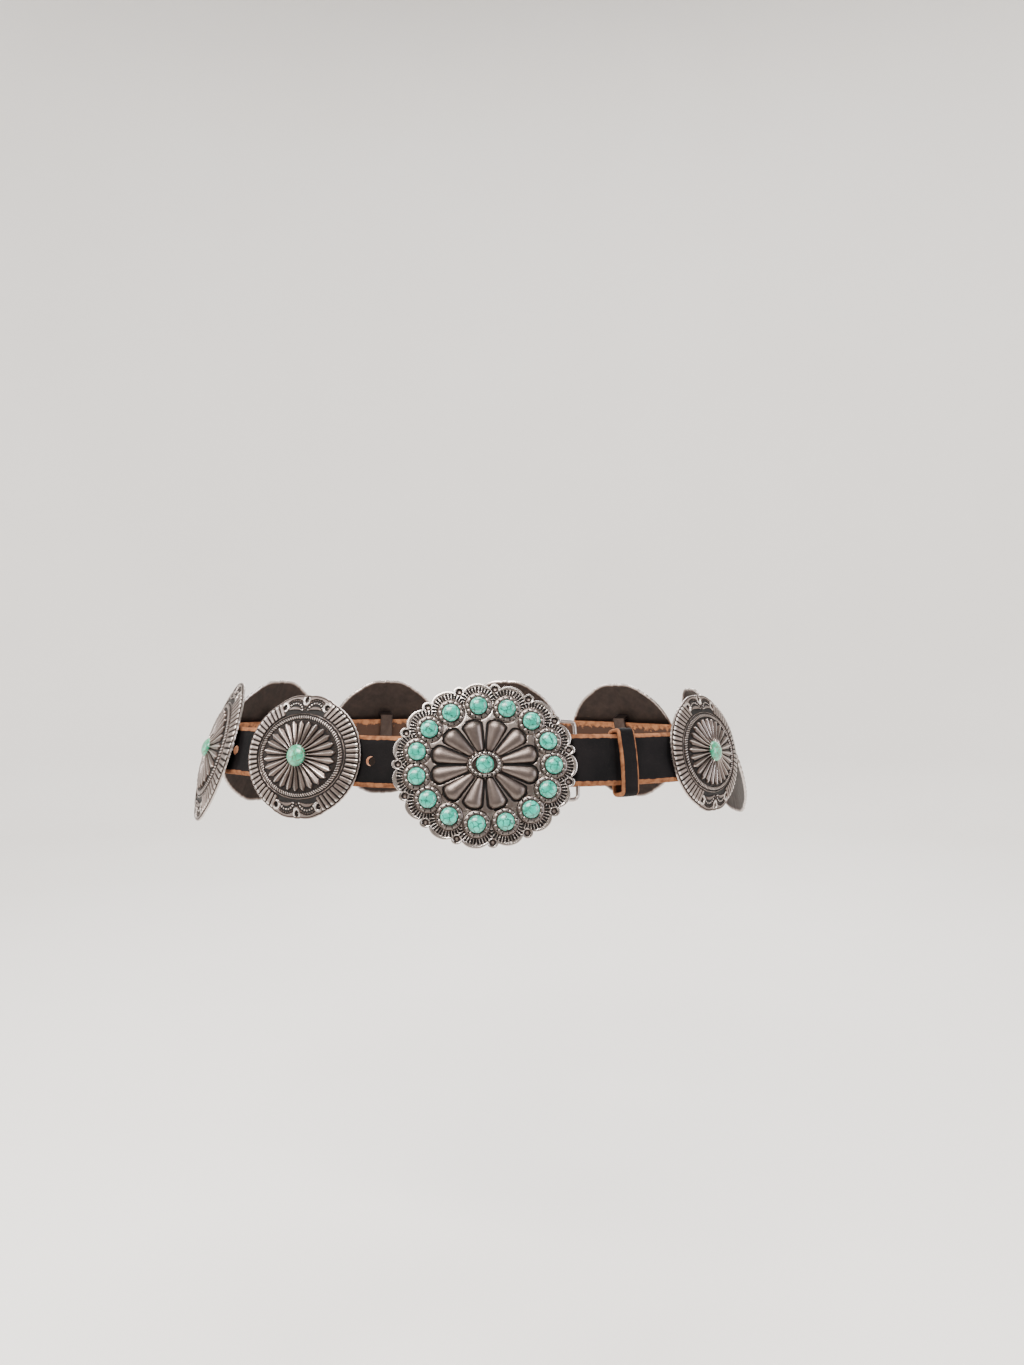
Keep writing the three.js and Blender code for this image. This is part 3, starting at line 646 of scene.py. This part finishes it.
def bar_ring(count, half_width, half_height, bar, lift, rubbed):
    """A ring of short rounded bars set end to end round an oval, as the milled edge of a bezel."""
    bars = []
    for k in range(count):
        turn = 2 * math.pi * k / count
        bpy.ops.object.select_all(action="DESELECT")
        bpy.ops.mesh.primitive_cube_add(size=1)
        cube = bpy.context.object
        bpy.ops.object.mode_set(mode="EDIT")
        bpy.ops.mesh.select_all(action="SELECT")
        bpy.ops.transform.resize(value=bar)
        bpy.ops.mesh.bevel(offset=bar_bevel, segments=2, affect="EDGES")
        bpy.ops.object.mode_set(mode="OBJECT")
        lean = math.atan2(half_width * math.cos(turn), -half_height * math.sin(turn)) - math.pi / 2
        bars.append(shaped(cube, lambda co: np.c_[
            co[:, 0] * math.cos(lean) - co[:, 1] * math.sin(lean) + half_width * math.cos(turn),
            co[:, 0] * math.sin(lean) + co[:, 1] * math.cos(lean) + half_height * math.sin(turn),
            co[:, 2] + lift]))
    ring = joined(bars, "bars")
    even_relief(ring, rubbed)
    return ring


def turned_ring(name, profile, half_width, half_height, sides=40):
    """A round or oval rim from a profile of (share of the half width, height, rubbed) points."""
    turn = np.linspace(0, 2 * math.pi, sides, endpoint=False)
    rows = [np.c_[half_width * out * np.cos(turn), half_height * out * np.sin(turn),
                  np.full(sides, rise)] for out, rise, rubbed in profile]
    ring, row, column = grid_piece(name, np.array(rows) / MM)
    attribute(ring, "relief", np.array([rubbed for out, rise, rubbed in profile])[row])
    merge(ring, merged_within)
    return ring


def copy_of(piece):
    copy = piece.copy()
    copy.data = piece.data.copy()
    bpy.context.scene.collection.objects.link(copy)
    return copy


def petal_shape(co, turn):
    """Shapes a sphere into a smooth teardrop that widens away from the buckle's middle."""
    petal_height, petal_sunk, widest = 2.7, 0.45, 4.4
    length = (co[:, 0] + 1) / 2
    girth = np.sqrt(np.clip(1 - co[:, 0] ** 2, 1e-9, 1))
    half = petal_half_width(length, turn)
    across = co[:, 1] / girth * half
    high = co[:, 2] / girth * (half / widest) ** 0.8 * petal_height
    tip = np.array([petal_field[0] * math.sin(turn), petal_field[1] * math.cos(turn)])
    run = np.linalg.norm(tip)
    way = tip / run
    reach = run * (petal_root + petal_reach * length)
    x = way[0] * reach + way[1] * across
    y = way[1] * reach - way[0] * across
    return np.c_[x, y, plate_face + dome(x, y) - petal_sunk + high]


def build_petal(seated, turn):
    bpy.ops.object.select_all(action="DESELECT")
    bpy.ops.mesh.primitive_uv_sphere_add(
        segments=32, ring_count=26, radius=1, rotation=(0, math.pi / 2, 0))
    bpy.ops.object.transform_apply(location=False, rotation=True, scale=False)
    petal = bpy.context.object
    high = np.array([v.co.z for v in petal.data.vertices])
    attribute(petal, "relief", 0.1 + 0.46 * step(-0.15, 0.6, high))
    moved(shaped(petal, lambda co: petal_shape(co, turn)), seated)
    merge(petal)
    smooth_shade(petal, petal_crease)
    return petal


def build_bezel():
    """A cup with a rim, a ring of bars and a collar for the stone: (share, height, rubbed) profile."""
    cup = turned_ring("bezel_cup", [
        (0, -0.8, 0), (1.06, -0.8, 0), (1.08, -0.1, 0.1), (1.06, 0.35, 0.5), (1.0, 0.5, 0.75),
        (0.99, 0.45, 0.1), (0.96, 0.5, 0), (0.76, 0.6, 0), (0.73, 1.6, 0.1), (0.71, 1.9, 0.5),
        (0.67, 1.9, 0.6), (0.65, 1.5, 0), (0, 1.5, 0)], bezel_radius, bezel_radius)
    bars = bar_ring(bezel_bars, 5.15, 5.15, (1.5, 2.35, 1.5), 0.8, 0.78)
    bezel = joined([cup, bars], "bezel")
    smooth_shade(bezel, cast_crease)
    return bezel


def build_setting():
    """The oval setting in the buckle's middle: its dish, its ring of bars and the stone's collar."""
    dish = turned_ring("setting_cup", [
        (0, -0.8, 0), (1.02, -0.8, 0), (1.04, 0.5, 0.3), (1.0, 0.9, 0.9), (0.96, 0.9, 0.2),
        (0.94, 0.7, 0), (0.8, 0.7, 0), (0.79, 1.4, 0.7), (0.755, 1.5, 0.9), (0.73, 1.3, 0.3),
        (0.72, 0.9, 0.35), (0, 0.9, 0.35)], 8.2, 6.2)
    bars = bar_ring(setting_bars, 7.1, 5.35, (1.2, 1.6, 1.3), 1.05, 0.82)
    collar = turned_ring("stone_collar", [
        (0, 0.9, 0), (1.02, 0.9, 0), (1, 2.0, 0.7), (0.97, 2.15, 0.9), (0.93, 2.0, 0.3), (0, 2.0, 0)],
        stone_collar_radius, stone_collar_radius)
    setting = joined([dish, bars, collar], "setting")
    smooth_shade(setting, cast_crease)
    return shaped(setting, lambda co: co + [0, 0, plate_face + buckle_crown])


def build_buckle(seated):
    parts = [build_plate(seated)]
    bezel = build_bezel()
    for k in range(scallops):
        x, y = bezel_spot(k)
        lift = [x, y, plate_face + dome(x, y)]
        parts.append(moved(shaped(copy_of(bezel), lambda co: co + lift), seated))
    bpy.data.objects.remove(bezel)
    parts += [build_petal(seated, (k + 0.5) * 2 * math.pi / plate_petals) for k in range(plate_petals)]
    parts.append(moved(build_setting(), seated))
    return joined(parts + back_fittings(seated), "buckle_plate_cast")


def build_lug(seated, x, y, z):
    """A short tube for the heel loop's wire to turn in."""
    inner, outer, end = wire_radius + clearance, wire_radius + clearance + lug_wall, lug_length / 2
    turn = np.linspace(0, 2 * math.pi, lug_sides, endpoint=False)
    rows = [np.c_[x + radius * np.cos(turn), np.full(lug_sides, y + along), z + radius * np.sin(turn)]
            for radius, along in ((outer, -end), (outer, end), (inner, end), (inner, -end))]
    lug, row, column = grid_piece("lug", stand(seated, np.array(rows)), closed_rows=True)
    even_relief(lug, 0.6)
    merge(lug)
    smooth_shade(lug, cast_crease)
    return lug


def build_hook(seated, x, y, top, tip):
    """A peg that goes through a hole of the strap, with a rounded tip."""
    profile = [(0, top), (1.6, top), (1.45, tip + 1.6), (1.3, tip + 0.8), (0.9, tip + 0.15), (0, tip)]
    turn = np.linspace(0, 2 * math.pi, hook_sides, endpoint=False)
    rows = [np.c_[x + radius * np.cos(turn), y + radius * np.sin(turn), np.full(hook_sides, rise)]
            for radius, rise in profile]
    hook, row, column = grid_piece("hook", stand(seated, np.array(rows)))
    even_relief(hook, 0.7)
    merge(hook)
    smooth_shade(hook, cast_crease)
    return hook


def back_fittings(seated):
    """The two lugs and the hook on the plate's back, taken to their seats by the heel loop and strap."""
    base, across, up, out = seated
    into_seat = np.c_[across, up, out]
    plate_back = plate_face - buckle_thickness
    bar = (np.array(place(heel_along, bar_offset, 0)) - base) @ into_seat
    lug_x = bar[0] - lug_inset
    lug_z = plate_back + dome(lug_x, 0) - wire_radius - clearance - lug_wall / 2
    lugs = [build_lug(seated, lug_x, bar[1] + side * lug_spacing / 2, lug_z) for side in (-1, 1)]
    hook = (np.array(place(hook_along, 0, 0)) - base) @ into_seat
    hook_top = plate_back + dome(hook[0], 0) + 1
    tip = hook[2] - strap_thickness / 2 - hook_past
    return lugs + [build_hook(seated, hook[0], hook[1], hook_top, tip)]


buckle_seat = seat("buckle_stone_centre")
dress(build_buckle(buckle_seat), "buckle_plate", antique_silver)


# Buckle stones: fifteen round turquoise cabochons in the bezels and one in the oval setting, glued in.
# They are polished, cloudy green, and crossed by fine brown-grey matrix veins.
buckle_stone_radius, buckle_stone_height, stone_girdle, stone_crease = 4.15, 2.3, 0.3, 60


def turquoise_material(name, pale, deep, vein):
    material = new_material(name)
    where = add(material, "ShaderNodeTexCoord").outputs["Object"]
    # Clouds 4 mm across, and veins round cells of 3 mm that waver by up to 2 mm
    clouds = add(material, "ShaderNodeTexNoise", {"Vector": where, "Scale": 260.0, "Detail": 4.0})
    waver = add(material, "ShaderNodeTexNoise", {"Vector": where, "Scale": 500.0, "Detail": 3.0})
    bent = add(material, "ShaderNodeVectorMath", {
        0: waver.outputs["Color"], 1: (0.0022, 0.0022, 0.0022)}, operation="MULTIPLY")
    moved_to = add(material, "ShaderNodeVectorMath", {0: where, 1: bent.outputs[0]}, operation="ADD")
    cells = add(material, "ShaderNodeTexVoronoi", {
        "Vector": moved_to.outputs[0], "Scale": 330.0}, feature="DISTANCE_TO_EDGE")
    body = add(material, "ShaderNodeValToRGB", {"Fac": clouds.outputs["Fac"]})
    body.color_ramp.elements[0].color = colour(deep)
    body.color_ramp.elements[0].position = 0.35
    body.color_ramp.elements[1].color = colour(pale)
    body.color_ramp.elements[1].position = 0.65
    width = add(material, "ShaderNodeMapRange", {
        "Value": clouds.outputs["Fac"], "From Min": 0.35, "From Max": 0.65,
        "To Min": 0.03, "To Max": 0.095})
    line = add(material, "ShaderNodeMath", {
        0: cells.outputs["Distance"], 1: width.outputs[0]}, operation="DIVIDE")
    veined = add(material, "ShaderNodeMapRange", {
        "Value": line.outputs[0], "From Min": 0.4, "From Max": 1.1, "To Min": 0.85, "To Max": 0.0})
    tone = add(material, "ShaderNodeMix", {
        0: veined.outputs[0], 6: body.outputs["Color"], 7: colour(vein)}, data_type="RGBA")
    bump = add(material, "ShaderNodeBump", {
        "Height": line.outputs[0], "Distance": 0.00002, "Strength": 0.2})
    shader = add(material, "ShaderNodeBsdfPrincipled", {
        "Base Color": tone.outputs[2], "Roughness": 0.28, "IOR": 1.61, "Coat Weight": 0.35,
        "Coat Roughness": 0.12, "Normal": bump.outputs["Normal"]})
    add(material, "ShaderNodeOutputMaterial", {"Surface": shader.outputs["BSDF"]})
    return material


buckle_turquoise = turquoise_material("turquoise_cabochon", "#2bc4ab", "#0b8a74", "#1d2a22")
concho_turquoise = turquoise_material("green_turquoise_cabochon", "#3fb58c", "#14805f", "#554c30")


def cut_stone(radius, height):
    """A cabochon in millimetres: a half dome over a thin rounded girdle."""
    bpy.ops.object.select_all(action="DESELECT")
    bpy.ops.mesh.primitive_uv_sphere_add(segments=48, ring_count=32, radius=1)
    stone = shaped(bpy.context.object, lambda co: np.c_[
        co[:, 0] * radius, co[:, 1] * radius,
        np.where(co[:, 2] > 0, co[:, 2] * (height - stone_girdle), co[:, 2] * stone_girdle) + stone_girdle])
    smooth_shade(stone, stone_crease)
    return stone


def set_stone(cut, node, material):
    stone = moved(copy_of(cut), seat(node))
    stone.name = stone.data.name = node + "_cut"
    dress(stone, node, material)


buckle_stone = cut_stone(buckle_stone_radius, buckle_stone_height)
for node in [f"buckle_stone_{k + 1}" for k in range(scallops)] + ["buckle_stone_centre"]:
    set_stone(buckle_stone, node, buckle_turquoise)
bpy.data.objects.remove(buckle_stone)


# Conchos: cast round domes, hollow behind, with a staple soldered across the back that the strap
# runs through. Ridged petals round the stone, a twisted rope ring, flutes at the sides, and two
# beaded fans at the top and the bottom. The pair beside the buckle is the smaller casting.
small_concho = {"half_width": 34.1, "half_height": 30.4, "crown": 5.8}
large_concho = {"half_width": 38.0, "half_height": 39.0, "crown": 6.6}
concho_wall, concho_rim, fan_span = 1.6, 1.3, 26.0
petals, flutes, rope_marks, hatch_marks = 26, 68, 102, 52
edge_relief, hollow_relief, concho_crease = 0.85, 0.22, 35
staple_room, staple_bar, staple_width, staple_bevel, staple_relief = 2.4, 1.6, 8.0, 0.35, 0.36
concho_stone_radius, concho_stone_height = 5.5, 3.6


def from_end(turn):
    """Degrees from the nearer of a concho's top and bottom, with its sign."""
    degrees = np.degrees(turn)
    return (degrees + 90) % 180 - 90


def concho_relief(turn, share):
    """The ridged petals, the rope and the flutes: their height in millimetres, and how rubbed they are,
    with a painted highlight on the flutes' outer ends.
    """
    inner = share * (1 + 0.09 * np.cos(turn) ** 2)
    pitch = 2 * math.pi / petals
    off = np.abs(turn / pitch - np.rint(turn / pitch)) * 2
    tip = 0.635 - 0.075 * off
    side = 0.9 - 0.08 * inner / 0.6
    petal = (1 - step(side - 0.07, side + 0.03, off)) * (1 - step(tip - 0.008, tip + 0.01, inner))
    petal = petal * step(0.14, 0.16, inner)
    height = petal * (0.6 + 0.95 * (1 - off)) * (1 + 0.5 * (1 - step(0.15, 0.3, inner)))
    rubbed = petal * (0.5 + 0.4 * (1 - step(0.05, 0.2, off)))
    hatch = np.abs(np.sin(turn * hatch_marks)) * (1 - petal)
    hatch = hatch * step(0.6, 0.61, inner) * (1 - step(0.655, 0.665, inner))
    height = height + hatch * 0.12
    rubbed = rubbed + hatch * 0.25
    across = (inner - 0.706) / 0.034
    cord = np.sqrt(np.clip(1 - across ** 2, 0, 1))
    strand = step(0.3, 0.8, np.abs(np.sin(turn * rope_marks / 2 + across * 1.1)))
    height = height + cord * (0.5 + 0.45 * strand)
    rubbed = rubbed + step(0.1, 0.6, cord) * (0.05 + 0.75 * strand)
    line = np.exp(-((inner - 0.768) / 0.008) ** 2)
    height = height + line * 0.4
    rubbed = rubbed + line * 0.8
    at_side = step(fan_span + 1.0, fan_span + 2.2, np.abs(from_end(turn)))
    wave = np.abs(np.sin(turn * flutes / 2))
    flute = step(0.2, 0.5, wave) * step(0.795, 0.81, inner) * (1 - step(0.972, 0.984, share)) * at_side
    height = height + flute * (0.55 + 0.3 * wave)
    # Painted highlight: the flutes' outer ends, where they bend down to the rim, are painted brighter
    rubbed = rubbed + flute * (0.4 + 0.28 * wave + 0.3 * step(0.93, 0.96, share))
    lip = step(0.984, 0.992, share)
    return height + 0.35 * lip, np.maximum(rubbed, 0.6 * lip)


def fan_relief(size, turn, share, x, y):
    """The two beaded fans and three dimpled bumps at each end of a concho, in the same two measures, with
    glints painted into the dimples.
    """
    grow = size["half_height"] / small_concho["half_height"]
    widen = size["half_width"] / small_concho["half_width"]
    across = (np.abs(x) - 6.1 * widen) / grow
    rise = (np.abs(y) - 22.7 * grow) / grow
    outer = 5.6 - np.hypot(across, rise + 2.9)
    inner = np.hypot(across, rise + 16.1) - 16.8
    crescent = step(0, 0.4, outer) * step(0, 0.3, inner)
    radius = np.hypot(across * 0.92, rise)
    around = np.degrees(np.arctan2(across, rise))
    bead = (np.abs((around + 90) % 21 - 10.5)) * math.pi / 180 * 4.15
    bead = np.sqrt(np.clip(1 - (np.hypot(radius - 4.15, bead) / 0.6) ** 2, 0, 1)) * (np.abs(around) < 84)
    tooth = step(0.3, 0.7, np.abs(np.sin(np.radians(around) * 13)))
    teeth = tooth * step(5.3, 5.5, radius) * (1 - step(6.0, 6.2, radius))
    border = step(6.35, 6.55, radius)
    height = crescent * 0.75 + bead * 0.6 + teeth * 0.4 + border * 0.5
    rubbed = crescent * 0.58 + bead + teeth * 0.5 + border * 0.62
    for spot_x, spot_y, wide, tall in ((0.0, 28.7, 1.25, 1.75), (12.9, 24.6, 1.5, 1.5)):
        near_x = (np.abs(x) - spot_x * widen) / grow
        near_y = (np.abs(y) - spot_y * grow) / grow
        near = np.hypot(near_x / wide, near_y / tall)
        collar = 1 - step(1.55, 1.85, near)
        pit = 1 - step(0.75, 1.05, near)
        height = height * (1 - collar) + collar * 0.55 - pit * 1.2
        # Painted highlight: a glint is painted into the middle of each dimple
        glint = 0.7 * (1 - step(0.15, 0.35, near))
        rubbed = rubbed * (1 - collar) + collar * 0.95 - pit * 0.95 + glint
    keep = 1 - step(fan_span + 0.6, fan_span + 2.0, np.abs(from_end(turn)))
    keep = keep * step(0.795, 0.81, share * 1.075)
    lip = step(0.975, 0.985, share)
    return height * keep * (1 - lip), np.clip(rubbed, 0, 1) * keep * (1 - lip)


def concho_turns():
    """Turns round a concho: close together over the fans, and eight to each flute at the sides."""
    quarter = np.r_[np.linspace(0, 28, 47, endpoint=False), np.linspace(28, 90, 94)]
    half = np.r_[quarter, 180 - quarter[-2::-1]]
    return np.radians(np.r_[half[:-1], 180 + half[:-1]])


def cast_concho(size):
    """One casting in millimetres, its stone's seat at the origin: face, edge, then the hollow back."""
    turn = concho_turns()
    end = np.abs(from_end(turn))
    reach = 1 + np.where(end < fan_span, 0.032 * np.abs(np.sin(math.pi * end / fan_span)) ** 0.8, 0)
    reach = reach + 0.022 * np.clip(1 - (end / 3.2) ** 2, 0, 1)
    reach = reach + 0.012 * np.clip(1 - ((end - 25) / 3) ** 2, 0, 1)
    reach = reach + 0.005 * np.abs(np.sin(turn * flutes / 2)) * (end > fan_span)
    shares = np.r_[0, 0.09, np.linspace(0.13, 0.17, 4), np.linspace(0.2, 0.46, 6),
                   np.linspace(0.48, 0.79, 30), np.linspace(0.798, 0.99, 24), 1.0]
    rows, tones = [], []
    for share in shares:
        edge = 1 + (reach - 1) * step(0.8, 1, share)
        x = size["half_width"] * share * edge * np.sin(turn)
        y = size["half_height"] * share * edge * np.cos(turn)
        height = concho_rim + (size["crown"] - concho_rim) * (1 - share ** 2)
        relief, rubbed = concho_relief(turn, share)
        fan, fan_rubbed = fan_relief(size, turn, share, x, y)
        low = 0.5 * step(0.13, 0.16, share)
        rows.append(np.c_[x, y, height - low + relief + fan])
        tones.append(np.clip(rubbed + fan_rubbed, 0, 1))
    count = len(turn)
    x = size["half_width"] * reach * np.sin(turn)
    y = size["half_height"] * reach * np.cos(turn)
    for inward, height in ((1.006, 0.9), (1.004, 0.3), (0.992, 0.0)):
        rows.append(np.c_[x * inward, y * inward, np.full(count, height)])
        tones.append(np.full(count, edge_relief))
    for share in (0.95, 0.72, 0.45, 0):
        hollow = (size["crown"] - concho_wall) * (1 - share ** 2) + 0.1
        rows.append(np.c_[x * share, y * share, np.full(count, hollow)])
        tones.append(np.full(count, hollow_relief))
    seat_height = np.array([0, 0, size["crown"] + clearance])
    concho, row, column = grid_piece("concho_casting", (np.array(rows) - seat_height) / MM)
    attribute(concho, "relief", np.array(tones)[row, column])
    merge(concho, merged_within)
    smooth_shade(concho, concho_crease)
    return concho


def build_staple(size, seated, depth):
    """The back bar: a flat strip bent to a bridge over the strap and soldered at both feet."""
    half, bar = strap_width / 2 + staple_room, staple_bar
    top = (size["crown"] - concho_wall) * (1 - (half / size["half_height"]) ** 2) + 0.7
    pieces = []
    for low, high, bottom, ceiling in ((-half - bar, half + bar, depth - bar, depth),
                                       (half, half + bar, depth - bar * 0.5, top),
                                       (-half - bar, -half, depth - bar * 0.5, top)):
        bpy.ops.object.select_all(action="DESELECT")
        bpy.ops.mesh.primitive_cube_add(size=1)
        cube = bpy.context.object
        bpy.ops.object.mode_set(mode="EDIT")
        bpy.ops.mesh.select_all(action="SELECT")
        bpy.ops.transform.resize(value=(staple_width, high - low, ceiling - bottom))
        bpy.ops.mesh.bevel(offset=staple_bevel, segments=3, affect="EDGES")
        bpy.ops.object.mode_set(mode="OBJECT")
        lift = [0, (low + high) / 2, (bottom + ceiling) / 2 - size["crown"] - clearance]
        even_relief(cube, staple_relief)
        moved(shaped(cube, lambda co: co + lift), seated)
        smooth_shade(cube, cast_crease)
        pieces.append(cube)
    return pieces


def staple_depth(node, seated, size):
    """The front of the staple's bar below the rim's plane, read from the CAD solid of the concho."""
    base, across, up, out = seated
    co = np.array([v.co for v in frame["nodes"][node].data.vertices]) / MM - base
    return (co @ out).min() + size["crown"] + clearance + staple_bar


for size, places in ((small_concho, (1, 8)), (large_concho, range(2, 8))):
    casting = cast_concho(size)
    for k in places:
        seated = seat(f"concho_stone_{k}")
        shell = moved(copy_of(casting), seated)
        staple = build_staple(size, seated, staple_depth(f"concho_{k}", seated, size))
        concho = joined([shell] + staple, f"concho_{k}_cast")
        dress(concho, f"concho_{k}", antique_silver)
    bpy.data.objects.remove(casting)


# Concho stones: one green turquoise cabochon glued into the middle of each concho, cut like the
# buckle's stones but larger, and with browner veins.
concho_stone = cut_stone(concho_stone_radius, concho_stone_height)
for k in range(1, 9):
    set_stone(concho_stone, f"concho_stone_{k}", concho_turquoise)
bpy.data.objects.remove(concho_stone)


# Studio: a plain pale floor that curves up into a pale wall all round, lit by five soft boxes. Its
# near side is painted dark, a painted shade that stands in for the unlit room behind the camera, so
# that the silver has something dark to reflect.
floor_sides, floor_crease, world_strength = 96, 60, 0.2
floor_profile = [(0, -330), (1500, -330), (1900, -300), (2150, -150), (2250, 150), (2300, 2600)]


def build_studio():
    turn = np.linspace(0, 2 * math.pi, floor_sides, endpoint=False)
    rows = [np.c_[out * np.cos(turn), out * np.sin(turn), np.full(floor_sides, rise)]
            for out, rise in floor_profile]
    floor, row, column = grid_piece("studio_floor", np.array(rows))
    merge(floor)
    smooth_shade(floor, floor_crease)
    material = new_material("matt_pale_studio_floor")
    where = add(material, "ShaderNodeTexCoord").outputs["Object"]
    mottle = add(material, "ShaderNodeTexNoise", {"Vector": where, "Scale": 3.0, "Detail": 3.0})
    pale = add(material, "ShaderNodeMix", {
        0: mottle.outputs["Fac"], 6: colour("#e9e5e0"), 7: colour("#efece8")}, data_type="RGBA")
    # Painted shade: the floor darkens towards the camera, standing in for an unlit room
    forward = add(material, "ShaderNodeSeparateXYZ", {"Vector": where}).outputs["Y"]
    near_side = add(material, "ShaderNodeMapRange", {
        "Value": forward, "From Min": -0.4, "From Max": -1.3, "To Min": 0.0, "To Max": 1.0})
    shaded = add(material, "ShaderNodeMix", {
        0: near_side.outputs[0], 6: pale.outputs[2], 7: colour("#6d6762")}, data_type="RGBA")
    shader = add(material, "ShaderNodeBsdfPrincipled", {
        "Base Color": shaded.outputs[2], "Roughness": 0.9, "Specular IOR Level": 0.2})
    add(material, "ShaderNodeOutputMaterial", {"Surface": shader.outputs["BSDF"]})
    floor.data.materials.append(material)


def soft_box(name, spot, aim, size, watts, tint):
    light = bpy.data.lights.new(name, "AREA")
    light.shape, light.size, light.size_y, light.energy = "RECTANGLE", size[0], size[1], watts
    light.color = colour(tint)[:3]
    lamp = bpy.data.objects.new(name, light)
    lamp.location = spot
    lamp.rotation_euler = (Vector(aim) - Vector(spot)).to_track_quat("-Z", "Y").to_euler()
    bpy.context.scene.collection.objects.link(lamp)


build_studio()
soft_box("key", (-0.35, -0.95, 0.95), (0, 0, 0), (0.8, 0.5), 36, "#fffaf4")
soft_box("fill", (1.2, -0.8, 0.35), (0, 0, 0), (0.5, 0.9), 12, "#f4f7ff")
soft_box("side", (-1.3, -0.3, 0.4), (0, 0, 0), (0.5, 0.9), 10, "#ffffff")
soft_box("top", (0.1, 0.4, 2.2), (0, 0.5, 0), (1.6, 1.2), 80, "#ffffff")
soft_box("back", (0.3, 1.6, 0.9), (0, 0, 0), (1.2, 0.8), 16, "#ffffff")
world = bpy.data.worlds.new("studio")
bpy.context.scene.world = world
world.use_nodes = True
world.node_tree.nodes["Background"].inputs["Color"].default_value = colour("#f4f3f1")
world.node_tree.nodes["Background"].inputs["Strength"].default_value = world_strength
